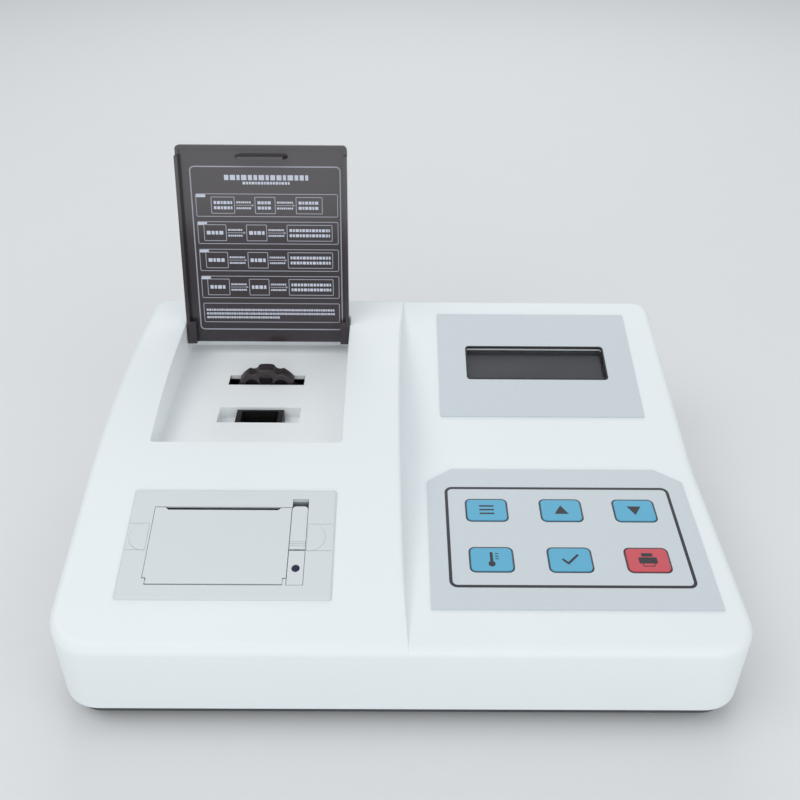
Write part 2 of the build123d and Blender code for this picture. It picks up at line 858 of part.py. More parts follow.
def optical_bench():
    top = bench_z + bench_thickness
    bench = slab(filter_slot_x - bench_x_half, filter_slot_x + bench_x_half, bench_y0, bench_y1, bench_z, top, bench_corner_r)
    for y0, y1 in cheek_spans():
        cheek = box(filter_slot_x - cheek_half_width, filter_slot_x + cheek_half_width, y0, y1, top - 1, wheel_z)
        cheek += rod_y(filter_slot_x, y0, y1, wheel_z, 2 * shaft_r)
        cheek -= rod_y(filter_slot_x, y0 - 1, y1 + 1, wheel_z, shaft_r)
        cheek -= rod_y(filter_slot_x, y0 - 1, y1 + 1, beam_z, beam_r + 1)
        bench += cheek
    return bench


def cuvette_holder():
    x0, x1 = cuvette_x - holder_length / 2, cuvette_x + holder_length / 2
    y0, y1 = cuvette_y - holder_width / 2, cuvette_y + holder_width / 2
    base = bench_z + bench_thickness
    holder = box(x0, x1, y0, y1, base, holder_top_z)
    holder += box(x0 - holder_foot_x, x1 + holder_foot_x, y0 - holder_foot_y, y1 + holder_foot_y,
                  base, base + holder_foot_height)
    holder -= box(cuvette_x - pocket_length / 2, cuvette_x + pocket_length / 2,
                  cuvette_y - pocket_width / 2, cuvette_y + pocket_width / 2, pocket_floor_z, holder_top_z + 1)
    holder -= rod_y(filter_slot_x, y0 - 1, y1 + 1, beam_z, beam_r)
    return holder


def lamp_y0():
    return cheek_spans()[1][1] + lens_thickness + 2


def lamp_housing():
    base = bench_z + bench_thickness
    y0 = lamp_y0()
    block = box(filter_slot_x - lamp_block_width / 2, filter_slot_x + lamp_block_width / 2,
                y0, y0 + lamp_block_length, base, beam_z + lamp_block_rise)
    block -= rod_y(filter_slot_x, y0 - 1, y0 + lamp_block_length - 3, beam_z, bulb_r + 2)
    block -= rod_y(filter_slot_x, y0 - 1, y0 + lamp_block_length + 1, beam_z, 2.5)
    collar = rod_y(filter_slot_x, y0 - lens_thickness - 1, y0, beam_z, lens_r + 2)
    collar -= rod_y(filter_slot_x, y0 - lens_thickness - 2, y0 + 1, beam_z, lens_r + 0.05)
    return block + collar


def collimating_lens():
    y0 = lamp_y0() - lens_thickness
    disc = rod_y(filter_slot_x, y0, lamp_y0(), beam_z, lens_r)
    crown = Pos(filter_slot_x, y0 + lens_crown_r, beam_z) * Sphere(lens_crown_r)
    return disc & crown


def lamp_bulb():
    y0 = lamp_y0() + 3
    glass = Pos(filter_slot_x, y0 + bulb_r, beam_z) * Sphere(bulb_r)
    stem = rod_y(filter_slot_x, y0 + bulb_r, lamp_y0() + lamp_block_length + 3, beam_z, bulb_stem_r)
    return glass + stem


def detector_board():
    base = bench_z + bench_thickness
    y = bench_y0 + detector_inset
    half = detector_width / 2
    board = box(filter_slot_x - half, filter_slot_x + half, y, y + board_thickness, base, base + detector_height)
    foot = box(filter_slot_x - half, filter_slot_x + half, y + board_thickness, y + board_thickness + detector_inset,
               base, base + 2)
    return board + foot


def photodiode():
    y = bench_y0 + detector_inset + board_thickness
    can = rod_y(filter_slot_x, y, y + photodiode_r, beam_z, photodiode_r)
    return can + rod_y(filter_slot_x, y, y + photodiode_r / 6, beam_z, photodiode_r * 1.15)


# Display

def display_plate():
    plate = slab(display_x0, display_x1, display_a0, display_a1, 0, plate_thickness, display_corner_r)
    plate -= slab(window_x0, window_x1, window_a0, window_a1, -1, plate_thickness + 1, window_r)
    return on(display_plane, plate)


def window_rim():
    rim = slab(window_x0 + rim_gap, window_x1 - rim_gap, window_a0 + rim_gap, window_a1 - rim_gap,
               -plate_thickness / 2, plate_thickness + 2 * rim_gap, window_r)
    rim -= slab(window_x0 + rim_width, window_x1 - rim_width, window_a0 + rim_width, window_a1 - rim_width,
                -1, plate_thickness + 1, window_r - 0.8)
    return on(display_plane, rim)


def display_pane():
    pane = slab(window_x0 - pane_overlap, window_x1 + pane_overlap, window_a0 - pane_overlap,
                window_a1 + pane_overlap, -wall - pane_thickness, -wall, 1.0)
    return on(display_plane, pane)


def lcd_outline(margin, h0, h1):
    return box(window_x0 - margin, window_x1 + margin, window_a0 - margin, window_a1 + margin, h0, h1)


def lcd_panel():
    top = -wall - pane_thickness
    return on(display_plane, lcd_outline(1.0, top - lcd_glass_thickness, top))


def lcd_frame():
    top = -wall - pane_thickness
    frame = lcd_outline(lcd_margin, top - lcd_frame_thickness, top + pane_thickness)
    frame -= lcd_outline(pane_overlap + 0.1, top, top + pane_thickness + 1)
    frame -= lcd_outline(1.1, top - lcd_glass_thickness, top + 1)
    return on(display_plane, frame)


def lcd_board():
    top = -wall - pane_thickness - lcd_frame_thickness
    return on(display_plane, lcd_outline(lcd_board_margin, top - board_thickness, top))


# Key pad

def keypad_plate():
    outline = Polyline((pad_x0, pad_a0), (pad_x1, pad_a0), (pad_x1, pad_a1 - pad_cut_a), (pad_x1 - pad_cut_x, pad_a1),
                       (pad_x0 + pad_cut_x, pad_a1), (pad_x0, pad_a1 - pad_cut_a), close=True)
    plate = extrude(make_face(outline), plate_thickness)
    for x, a in key_places():
        plate -= slab(x - key_length / 2 - key_gap, x + key_length / 2 + key_gap,
                      a - key_width / 2 - key_gap, a + key_width / 2 + key_gap, -1, plate_thickness + 1, key_r)
    return on(pad_plane, plate)


def key_cap(x, a):
    under = -wall - key_play
    cap = slab(x - key_length / 2, x + key_length / 2, a - key_width / 2, a + key_width / 2,
               under, plate_thickness + key_proud, key_r)
    cap = fillet(cap.faces().sort_by(Axis.Z)[-1].edges(), key_edge_r)
    cap += slab(x - key_length / 2 - key_flange, x + key_length / 2 + key_flange,
                a - key_width / 2 - key_flange, a + key_width / 2 + key_flange,
                under - key_flange_thickness, under, key_r)
    return on(pad_plane, cap)


def keypad_board():
    top = key_board_top()
    x0, x1 = min(key_columns) - key_length / 2 - key_board_margin, max(key_columns) + key_length / 2 + key_board_margin
    a0, a1 = min(key_rows) - key_width / 2 - key_board_margin, max(key_rows) + key_width / 2 + key_board_margin
    return on(pad_plane, slab(x0, x1, a0, a1, top - board_thickness, top, key_r))


def key_domes():
    top = key_board_top()
    domes = []
    for x, a in key_places():
        domes.append(on(pad_plane, Pos(x, a, top + dome_height / 2) * Cone(dome_r, dome_top_r, dome_height)))
    return Compound(children=domes)


# Panel printer

def printer_bezel():
    plate = slab(0, printer_length, 0, printer_width, 0, bezel_thickness, bezel_corner_r)
    plate = chamfer(plate.faces().sort_by(Axis.Z)[-1].edges(), bezel_bevel)
    plate -= box(door_x0 - door_gap, column_x1 + door_gap, door_a0 - 0.7, door_a1 + door_gap, -1, bezel_thickness + 1)
    plate -= box(column_x0 - door_gap / 2, column_x1 + door_gap, door_a1, lever_recess_a, -1, bezel_thickness + 1)
    for x in (door_x0 - door_gap, door_x1 - lug_width + 0.1):
        lug = box(x, x + lug_width, door_a0 - 0.7 - 0.5, door_a0 + lug_reach - 0.6, -1.5, bezel_thickness)
        plate += lug
    plate -= rod_x(door_x0 - door_gap, door_x1 + 0.2, door_axis_a, door_axis_h, door_pin_r + pin_gap)
    for flat_x, side in cover_places():
        plate -= cover_shape(flat_x, side, bezel_thickness - cover_depth, bezel_thickness + 1, 0.1)
        edge_x = 0 if side < 0 else printer_length
        for a in (cover_a - cover_r, cover_a + cover_r):
            plate -= box(min(flat_x, edge_x), max(flat_x, edge_x), a - groove_width / 2, a + groove_width / 2,
                         bezel_thickness - groove_depth, bezel_thickness + 1)
    return on(printer_plane, plate)


def cover_places():
    return [(door_x0 - 1.5, -1), (column_x1 + 0.8, 1)]


def cover_shape(flat_x, side, h0, h1, grow):
    centre = flat_x + side * 1.5
    disc = rod_z(centre, cover_a, h0, h1, cover_r + grow)
    keep = box(min(flat_x - side * grow, flat_x + side * cut_over), max(flat_x - side * grow, flat_x + side * cut_over),
               cover_a - cut_over, cover_a + cut_over, h0 - 1, h1 + 1)
    return disc & keep


def screw_cover(flat_x, side):
    return on(printer_plane, cover_shape(flat_x, side, bezel_thickness - cover_depth, bezel_thickness + 0.1, 0))


def printer_frame():
    tub = box(frame_x0, frame_x1, frame_a0, frame_a1, -frame_depth, 0)
    tub -= box(frame_x0 + frame_wall, frame_x1 - frame_wall, frame_a0 + frame_wall, frame_a1 - frame_wall,
               -frame_depth + frame_wall, 1)
    bx0, bx1 = roll_x0 - roll_gap - 0.4 - bucket_wall, roll_x1 + roll_gap + 0.4 + bucket_wall
    floor_h = roll_h - roll_r - roll_gap
    back_a = roll_a + roll_r + 8
    tub += box(bx0, bx1, frame_a0, back_a, floor_h - bucket_wall, -frame_depth)
    tub -= box(bx0 + bucket_wall, bx1 - bucket_wall, frame_a0 + bucket_wall, back_a - bucket_wall, floor_h, 1)
    bulkhead_x = drive_gear_x0() - 2.3
    tub += box(bulkhead_x, bulkhead_x + frame_wall, platen_a - 8, platen_a + 8, -frame_depth + 1, drive_h() + 6)
    tub -= rod_x(bulkhead_x - 1, bulkhead_x + frame_wall + 1, platen_a, drive_h(), drive_shaft_r + 2 * door_gap)
    lug = box(lever_mid() - 1.0, lever_mid() + 1.0, lever_axis_a - 1.4, lever_axis_a + 1.4, -frame_depth + 1, lever_axis_h)
    lug += rod_x(lever_mid() - 1.0, lever_mid() + 1.0, lever_axis_a, lever_axis_h, 1.0)
    lug -= rod_x(lever_mid() - 2.0, lever_mid() + 2.0, lever_axis_a, lever_axis_h, lever_pin_r)
    tub += lug
    for x, a in button_posts():
        tub += rod_z(x, a, -frame_depth + 1, button_board_top() - board_thickness, 2.0)
    head_wall = box(roll_x0 - 1, roll_x1 + 1, frame_a1 - frame_wall - 1.2, frame_a1 - 1, -16, -3)
    return on(printer_plane, tub + head_wall)


def lever_mid():
    return (column_x0 + column_x1) / 2


def button_board_top():
    return -5.0


def button_posts():
    return [(lever_mid(), button_a0 + 3.5), (lever_mid(), button_a1 - 3.5)]


def printer_door():
    door = box(door_x0, door_x1, door_a0, door_a1, bezel_thickness - door_thickness, bezel_thickness)
    outer = [e for e in door.edges().filter_by(Axis.X) if e.center().Z > 0]
    door = fillet(outer, 0.4)
    notch = prism_z([(slot_x0, door_a1 + 1), (slot_x0, door_a1 - 0.4), (slot_x0 + slot_depth, door_a1 - slot_depth),
                     (slot_x1 - slot_depth, door_a1 - slot_depth), (slot_x1, door_a1 - 0.4), (slot_x1, door_a1 + 1)], -5, 5)
    door -= notch
    for x in (door_x0 - 1, door_x1 - lug_width - 0.2):
        door -= box(x, x + lug_width + 1.2, door_a0 - 1, door_a0 + lug_reach, -5, 5)
    pin_x0, pin_x1 = door_x0 + 0.1, door_x1 - 0.1
    door += rod_x(pin_x0, pin_x1, door_axis_a, door_axis_h, door_pin_r)
    for x0, x1 in ear_spans():
        ear = box(x0, x1, platen_a - 5.5, platen_a + 3.5, platen_h - 3.5, bezel_thickness - door_thickness + 0.2)
        ear -= rod_x(x0 - 1, x1 + 1, platen_a, platen_h, platen_shaft_r + pin_gap)
        door += ear
    return on(printer_plane, door)


def prism_z(points, z0, z1):
    face = make_face(Polyline(points, close=True))
    return extrude(Pos(0, 0, z0) * face, z1 - z0)


def ear_spans():
    ear = 1.7
    gap = 0.6
    return [(roll_x0 - gap - ear, roll_x0 - gap), (roll_x1 + gap, roll_x1 + gap + ear)]


def platen_roller():
    rubber = rod_x(roll_x0, roll_x1, platen_a, platen_h, platen_r)
    shaft = rod_x(platen_gear_x0() - 0.3, ear_spans()[1][1] + 0.5, platen_a, platen_h, platen_shaft_r)
    return on(printer_plane, rubber + shaft)


def platen_gear_x0():
    return ear_spans()[0][0] - 0.3 - gear_width


def drive_gear_x0():
    return platen_gear_x0() - 0.1


def drive_h():
    distance = gear_module * (platen_teeth + drive_teeth) / 2
    return platen_h - distance - gear_backlash / 2


def gear_outline(teeth, phase):
    """Spur gear outline with straight-sided teeth: root, flank and tip points, tooth by tooth."""
    pitch_r = gear_module * teeth / 2
    tip_r = pitch_r + gear_module * 0.9
    root_r = pitch_r - gear_module * 1.2
    pitch = 2 * pi / teeth
    half_tooth = pitch / 4 - gear_backlash / 2 / pitch_r
    points = []
    for i in range(teeth):
        mid = phase + i * pitch
        for radius, offset in ((root_r, -half_tooth * 1.55), (tip_r, -half_tooth * 0.45),
                               (tip_r, half_tooth * 0.45), (root_r, half_tooth * 1.55)):
            points.append((radius * cos(mid + offset), radius * sin(mid + offset)))
    return points


def gear(teeth, phase, x0, a, h, bore_r):
    face = make_face(Polyline(gear_outline(teeth, phase), close=True)) - Circle(bore_r)
    plane = Plane(origin=(x0, a, h), x_dir=(0, 1, 0), z_dir=(1, 0, 0))
    return on(printer_plane, extrude(plane * face, gear_width))


def platen_gear():
    return gear(platen_teeth, -pi / 2, platen_gear_x0(), platen_a, platen_h, platen_shaft_r)


def drive_gear():
    return gear(drive_teeth, pi / 2 + pi / drive_teeth, drive_gear_x0(), platen_a, drive_h(), drive_shaft_r)


def drive_shaft():
    x0 = drive_gear_x0() - 2.3 - 0.2
    return on(printer_plane, rod_x(x0, drive_gear_x0() + gear_width + 0.2, platen_a, drive_h(), drive_shaft_r))


def printer_motor():
    face_x = drive_gear_x0() - 2.3
    motor = rod_x(frame_x0 + frame_wall + 0.2, face_x, platen_a, drive_h(), motor_r)
    motor -= rod_x(face_x - 1, face_x + 1, platen_a, drive_h(), drive_shaft_r + pin_gap)
    return on(printer_plane, motor)


def print_head():
    head = box(roll_x0 + 1, roll_x1 - 1, door_a1 + door_gap, frame_a1 - frame_wall - 1.2,
               platen_h - head_drop, platen_h + head_rise)
    return on(printer_plane, head)


def paper_roll():
    roll = rod_x(roll_x0, roll_x1, roll_a, roll_h, roll_r)
    roll -= rod_x(roll_x0 - 1, roll_x1 + 1, roll_a, roll_h, roll_core_r)
    return on(printer_plane, roll)


def printer_lever():
    bottom = bezel_thickness - door_thickness
    lever = box(column_x0, column_x1, lever_a0, lever_a1, bottom, bezel_thickness)
    lever += box(column_x0, column_x1, lever_a0, lever_axis_a + 3.0, lever_axis_h - 2.2, bottom)
    top_end = [e for e in lever.edges().filter_by(Axis.Z) if e.center().Y > lever_a1 - 1]
    lever = fillet(top_end, lever_corner_r)
    for i in range(3):
        line_a = lever_a0 + (i + 1.5) * grip_line_pitch
        lever -= box(column_x0 - 1, column_x1 + 1, line_a, line_a + grip_line_width,
                     bezel_thickness - grip_line_depth, bezel_thickness + 1)
    lever -= box(lever_mid() - 1.3, lever_mid() + 1.3, lever_a0 - 1, lever_axis_a + 2.6, -10, lever_axis_h + 1.2)
    lever -= rod_x(column_x0 - 1, column_x1 + 1, lever_axis_a, lever_axis_h, lever_pin_r + pin_gap)
    return on(printer_plane, lever)


def lever_pin():
    return on(printer_plane, rod_x(column_x0 + 0.6, column_x1 - 0.6, lever_axis_a, lever_axis_h, lever_pin_r))


def feed_button():
    button = box(column_x0, column_x1, button_a0, button_a1, -0.2, bezel_thickness - 0.1)
    button += box(column_x0, column_x1 + 1.2, button_a0 - 1.2, button_a1, -1.5, -0.2)
    button -= rod_z(lever_mid(), led_a, -3, 3, led_r + 0.3)
    return on(printer_plane, button)


def button_board():
    top = button_board_top()
    board = box(column_x0, column_x1 + 4, button_a0, button_a1, top - board_thickness, top)
    switch = box(lever_mid() - 3, lever_mid() + 3, button_a0 + 1, button_a0 + 6, top, -1.5 - button_travel - 0.05)
    return on(printer_plane, board + switch)


def status_led():
    lens = rod_z(lever_mid(), led_a, button_board_top(), bezel_thickness - 0.3, led_r)
    lens = fillet(lens.edges().sort_by(Axis.Z)[-1], 0.6)
    return on(printer_plane, lens)


# Rear wall and circuit board

def switch_frame():
    y = half_depth
    frame = box(switch_x - switch_length / 2 - switch_flange, switch_x + switch_length / 2 + switch_flange, y, y + 1.5,
                switch_z - switch_width / 2 - switch_flange, switch_z + switch_width / 2 + switch_flange)
    frame += box(switch_x - switch_length / 2 + 0.1, switch_x + switch_length / 2 - 0.1, y - 16, y,
                 switch_z - switch_width / 2 + 0.1, switch_z + switch_width / 2 - 0.1)
    frame -= box(switch_x - switch_length / 2 + 1.2, switch_x + switch_length / 2 - 1.2, y - 9, y + 3,
                 switch_z - switch_width / 2 + 1.2, switch_z + switch_width / 2 - 1.2)
    frame -= rod_z(switch_x, rocker_axis_y(), switch_z - switch_width, switch_z + switch_width, rocker_pin_r + pin_gap)
    return frame


def rocker_axis_y():
    return half_depth - 2.5


def power_rocker():
    y = rocker_axis_y()
    length = switch_length / 2 - 1.2
    half = switch_width / 2 - 1.5
    points = [(-length + 1.2, -4.0), (length - 1.2, -4.0), (length - 1.2, 5.2), (0, 3.8), (-length + 1.2, 5.2)]
    face = make_face(Polyline(points, close=True))
    rocker = extrude(Pos(0, 0, -half) * face, 2 * half)
    rocker = Rot(0, 0, rocker_tilt) * rocker
    rocker = rocker + Cylinder(rocker_pin_r, switch_width - 0.6)
    return Pos(switch_x, y, switch_z) * rocker


def power_jack():
    y = half_depth
    jack = rod_y(jack_x, y - jack_depth - 2, y, switch_z, jack_r - 0.1)
    jack += rod_y(jack_x, y, y + 1.6, switch_z, jack_r + 1.6)
    jack -= rod_y(jack_x, y - jack_depth, y + 3, switch_z, jack_bore_r)
    jack += rod_y(jack_x, y - jack_depth - 0.5, y - 0.6, switch_z, 1.0)
    return jack


def serial_port():
    y = half_depth
    z = switch_z
    flange = box(serial_x - serial_length / 2, serial_x + serial_length / 2, y, y + pane_thickness / 2,
                 z - serial_width / 2, z + serial_width / 2)
    wide, narrow = serial_hood_half, serial_hood_half - serial_hood_taper
    rise = serial_hood_height / 2
    face = make_face(Polyline((-wide, rise), (wide, rise), (narrow, -rise), (-narrow, -rise), close=True))
    hood = extrude(Plane(origin=(serial_x, y, z), x_dir=(-1, 0, 0), z_dir=(0, 1, 0)) * face, serial_hood_depth)
    back = box(serial_x - wide - 0.6, serial_x + wide + 0.6, y - wall - serial_hood_depth, y, z - rise - 0.8, z + rise + 0.8)
    port = flange + hood + back
    row_z = serial_pin_pitch / 2
    for count, pin_z in ((5, z + row_z), (4, z - row_z)):
        for i in range(count):
            pin_x = serial_x + (i - (count - 1) / 2) * serial_pin_pitch
            port -= rod_y(pin_x, y + serial_hood_depth / 3, y + serial_hood_depth + 1, pin_z, serial_pin_r)
    nut = extrude(RegularPolygon(serial_nut_r, 6), serial_nut_depth - pane_thickness / 4)
    for side in (-1, 1):
        port += Pos(serial_x + side * serial_nut_x, y + serial_nut_depth, z) * Rot(90, 0, 0) * nut
    return port


def board_block(share_x, share_y, length, width, height):
    """Block-shaped part on the circuit board, at a share of the board's length and width."""
    x = board_x0 + share_x * (board_x1 - board_x0)
    y = board_y0 + share_y * (board_y1 - board_y0)
    top = board_z + board_thickness
    return box(x - length / 2, x + length / 2, y - width / 2, y + width / 2, top - solder_depth, top + height)


def main_board():
    board = box(board_x0, board_x1, board_y0, board_y1, board_z, board_z + board_thickness)
    board += board_block(0.32, 0.48, chip_side, chip_side, chip_height)
    for share_y in (0.43, 0.64):
        board += board_block(0.59, share_y, small_chip_length, small_chip_width, chip_height)
    for share_x, share_y in ((0.2, 0.74), (0.34, 0.84), (0.75, 0.26)):
        board += board_block(share_x, share_y, socket_length, socket_width, socket_height)
    board += board_block(0.82, 0.7, small_chip_width, chip_side, socket_height)
    top = board_z + board_thickness
    x = board_x0 + 0.54 * (board_x1 - board_x0)
    y = board_y0 + 0.89 * (board_y1 - board_y0)
    for i in range(3):
        board += rod_z(x + i * capacitor_pitch, y, top - solder_depth, top + capacitor_height, capacitor_r)
    return board


def save(name, shape, shift):
    export_step(Pos(0, shift, 0) * shape, "parts/" + name + ".step")


def build():
    keys = {}
    names = ("key_menu", "key_up", "key_down", "key_temperature", "key_confirm", "key_print")
    for name, (x, a) in zip(names, key_places()):
        keys[name] = key_cap(x, a)
    covers = cover_places()
    pieces = {
        "upper_shell": upper_shell(),
        "sample_well": sample_well(),
        "base_tray": base_tray(),
        "rubber_feet": rubber_feet(),
        "case_screws": case_screws(),
        "chamber_lid": chamber_lid(),
        "lid_catch": lid_catch(),
        "filter_wheel": filter_wheel(),
        "wheel_filters": wheel_filters(),
        "wheel_shaft": wheel_shaft(),
        "optical_bench": optical_bench(),
        "cuvette_holder": cuvette_holder(),
        "lamp_housing": lamp_housing(),
        "collimating_lens": collimating_lens(),
        "lamp_bulb": lamp_bulb(),
        "detector_board": detector_board(),
        "photodiode": photodiode(),
        "display_plate": display_plate(),
        "window_rim": window_rim(),
        "display_pane": display_pane(),
        "lcd_panel": lcd_panel(),
        "lcd_frame": lcd_frame(),
        "lcd_board": lcd_board(),
        "keypad_plate": keypad_plate(),
        "keypad_board": keypad_board(),
        "key_domes": key_domes(),
        "printer_bezel": printer_bezel(),
        "printer_frame": printer_frame(),
        "printer_door": printer_door(),
        "platen_roller": platen_roller(),
        "platen_gear": platen_gear(),
        "drive_gear": drive_gear(),
        "drive_shaft": drive_shaft(),
        "printer_motor": printer_motor(),
        "print_head": print_head(),
        "paper_roll": paper_roll(),
        "printer_lever": printer_lever(),
        "lever_pin": lever_pin(),
        "feed_button": feed_button(),
        "button_board": button_board(),
        "status_led": status_led(),
        "screw_cover_left": screw_cover(*covers[0]),
        "screw_cover_right": screw_cover(*covers[1]),
        "switch_frame": switch_frame(),
        "power_rocker": power_rocker(),
        "power_jack": power_jack(),
        "serial_port": serial_port(),
        "main_board": main_board(),
    }
    pieces.update(keys)
    return pieces


os.makedirs("parts", exist_ok=True)
all_pieces = build()
front_y = min(shape.bounding_box().min.Y for shape in all_pieces.values())
back_y = max(shape.bounding_box().max.Y for shape in all_pieces.values())
to_middle = -(front_y + back_y) / 2
print("origin moved back by", round(-to_middle, 3), "to the middle of the whole footprint, lid open")
for node, piece in all_pieces.items():
    save(node, piece, to_middle)
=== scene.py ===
import json
import math

import bpy
import numpy as np
from mathutils import Matrix, Vector


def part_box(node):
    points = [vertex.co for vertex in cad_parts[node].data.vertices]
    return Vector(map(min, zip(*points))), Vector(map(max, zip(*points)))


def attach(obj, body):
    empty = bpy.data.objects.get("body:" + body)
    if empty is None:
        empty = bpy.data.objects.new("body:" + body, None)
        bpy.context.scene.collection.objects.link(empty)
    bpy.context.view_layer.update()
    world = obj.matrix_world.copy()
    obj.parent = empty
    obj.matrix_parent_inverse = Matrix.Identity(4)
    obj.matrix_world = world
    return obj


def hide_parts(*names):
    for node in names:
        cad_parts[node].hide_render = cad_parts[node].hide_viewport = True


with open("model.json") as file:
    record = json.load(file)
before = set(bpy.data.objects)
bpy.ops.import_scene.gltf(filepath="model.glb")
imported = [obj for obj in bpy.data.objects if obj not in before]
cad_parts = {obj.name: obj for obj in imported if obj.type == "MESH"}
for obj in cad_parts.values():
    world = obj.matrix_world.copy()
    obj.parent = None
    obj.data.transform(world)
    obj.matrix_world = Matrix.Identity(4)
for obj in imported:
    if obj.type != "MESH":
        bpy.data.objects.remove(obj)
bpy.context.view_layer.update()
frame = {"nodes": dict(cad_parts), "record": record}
nodes = frame["nodes"]
shellLow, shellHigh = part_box("upper_shell")
caseMiddleY = 0.5 * (shellLow[1] + shellHigh[1])  # the housing's middle, front to back


# Shader groups

def newGroup(name, inputs):
    # every group puts out a colour, a roughness and a height
    tree = bpy.data.node_groups.new(name, "ShaderNodeTree")
    for label, kind, value in inputs:
        socket = tree.interface.new_socket(label, in_out="INPUT", socket_type="NodeSocket" + kind)
        socket.default_value = value
    for label, kind in (("Colour", "Color"), ("Roughness", "Float"), ("Height", "Float")):
        tree.interface.new_socket(label, in_out="OUTPUT", socket_type="NodeSocket" + kind)
    return tree, tree.nodes.new("NodeGroupInput"), tree.nodes.new("NodeGroupOutput")


def closeGroup(tree, end, colour, rough, height):
    for label, source in (("Colour", colour), ("Roughness", rough), ("Height", height)):
        tree.links.new(source, end.inputs[label])
    return tree


def addNode(tree, kind, settings=None, values=None, links=None):
    # settings go on the node, values and links on its inputs, by name or number
    node = tree.nodes.new("ShaderNode" + kind)
    for key, value in (settings or {}).items():
        setattr(node, key, value)
    for key, value in (values or {}).items():
        node.inputs[key].default_value = value
    for key, source in (links or {}).items():
        tree.links.new(source, node.inputs[key])
    return node


def addMath(tree, operation, first, second):
    # first and second are numbers or other nodes' outputs
    node = tree.nodes.new("ShaderNodeMath")
    node.operation = operation
    for number, value in enumerate((first, second)):
        if isinstance(value, (int, float)):
            node.inputs[number].default_value = value
        else:
            tree.links.new(value, node.inputs[number])
    return node.outputs[0]


def addNoise(tree, place, values):
    return addNode(tree, "TexNoise", values=values, links={"Vector": place}).outputs["Fac"]


def addSwing(tree, pattern, amount):
    # how far the pattern lies from its middle value, times an amount
    return addMath(tree, "MULTIPLY", addMath(tree, "SUBTRACT", pattern, 0.5), amount)


def buildMouldedGroup():
    # spark-eroded mould texture: fine rounded grain, slow shade drift, sparse handling scuffs
    tree, start, end = newGroup("mouldedTexture", [
        ("Colour", "Color", (0.8, 0.8, 0.8, 1)), ("Grain Size", "Float", 0.5),
        ("Grain Share", "Float", 0.02), ("Drift", "Float", 0.02), ("Roughness", "Float", 0.5),
        ("Roughness Drift", "Float", 0.06), ("Scuff", "Float", 0.1)])
    place = addNode(tree, "TexCoord").outputs["Object"]
    grainScale = addMath(tree, "DIVIDE", 1000.0, start.outputs["Grain Size"])  # grains to a metre
    grain = addNode(tree, "TexNoise", values={"Detail": 3.0, "Roughness": 0.6},
                    links={"Vector": place, "Scale": grainScale}).outputs["Fac"]
    slow = addNoise(tree, place, {"Scale": 14.0, "Detail": 2.0})
    streaks = addNoise(tree, place, {"Scale": 210.0, "Detail": 6.0, "Roughness": 0.75, "Distortion": 1.4})
    scuff = addNode(tree, "MapRange", values={"From Min": 0.6, "From Max": 0.78},
                    links={"Value": streaks}).outputs[0]
    drift = addSwing(tree, slow, start.outputs["Drift"])
    shade = addMath(tree, "ADD", drift, addSwing(tree, grain, start.outputs["Grain Share"]))
    colour = addNode(tree, "HueSaturation", links={
        "Color": start.outputs["Colour"], "Value": addMath(tree, "ADD", shade, 1.0)}).outputs[0]
    roughShift = addSwing(tree, slow, start.outputs["Roughness Drift"])
    scuffed = addMath(tree, "MULTIPLY", scuff, start.outputs["Scuff"])
    rough = addMath(tree, "ADD", addMath(tree, "ADD", start.outputs["Roughness"], roughShift), scuffed)
    return closeGroup(tree, end, colour, rough, grain)


def buildFilmGroup():
    # silver polyester film: tiny metallic flakes under a matt lacquer
    tree, start, end = newGroup("silverFilm", [
        ("Colour", "Color", (0.6, 0.62, 0.64, 1)), ("Flake", "Float", 0.05), ("Roughness", "Float", 0.45)])
    place = addNode(tree, "TexCoord").outputs["Object"]
    flakes = addNode(tree, "TexVoronoi", values={"Scale": 2600.0, "Randomness": 1.0},
                     links={"Vector": place})
    flakeValue = addNode(tree, "SeparateColor", links={"Color": flakes.outputs["Color"]}).outputs[0]
    peel = addNoise(tree, place, {"Scale": 900.0, "Detail": 2.0})
    slow = addNoise(tree, place, {"Scale": 18.0, "Detail": 2.0})
    glint = addSwing(tree, flakeValue, start.outputs["Flake"])
    shade = addMath(tree, "ADD", glint, addSwing(tree, slow, 0.03))
    colour = addNode(tree, "HueSaturation", links={
        "Color": start.outputs["Colour"], "Value": addMath(tree, "ADD", 1.0, shade)}).outputs[0]
    rough = addMath(tree, "ADD", start.outputs["Roughness"], addSwing(tree, slow, 0.1))
    return closeGroup(tree, end, colour, rough, peel)


def buildMetalGroup():
    # rolled or turned metal: long fine scratches along one direction and slow tarnish
    tree, start, end = newGroup("workedMetal", [
        ("Colour", "Color", (0.6, 0.6, 0.6, 1)), ("Along", "Vector", (1, 30, 30)),
        ("Roughness", "Float", 0.35)])
    place = addNode(tree, "TexCoord").outputs["Object"]
    stretched = addNode(tree, "VectorMath", {"operation": "MULTIPLY"},
                        links={0: place, 1: start.outputs["Along"]}).outputs[0]
    lines = addNoise(tree, stretched, {"Scale": 120.0, "Detail": 5.0, "Roughness": 0.7})
    tarnish = addNoise(tree, place, {"Scale": 60.0, "Detail": 3.0})
    bright = addMath(tree, "ADD", 0.9, addMath(tree, "MULTIPLY", tarnish, 0.2))
    colour = addNode(tree, "HueSaturation", links={
        "Color": start.outputs["Colour"], "Value": bright}).outputs[0]
    rough = addMath(tree, "ADD", start.outputs["Roughness"], addSwing(tree, lines, 0.3))
    return closeGroup(tree, end, colour, rough, lines)


mouldedGroup = buildMouldedGroup()
filmGroup = buildFilmGroup()
metalGroup = buildMetalGroup()
print("shader groups ready")


# Finishes

bumpDistance = 0.0001  # metres


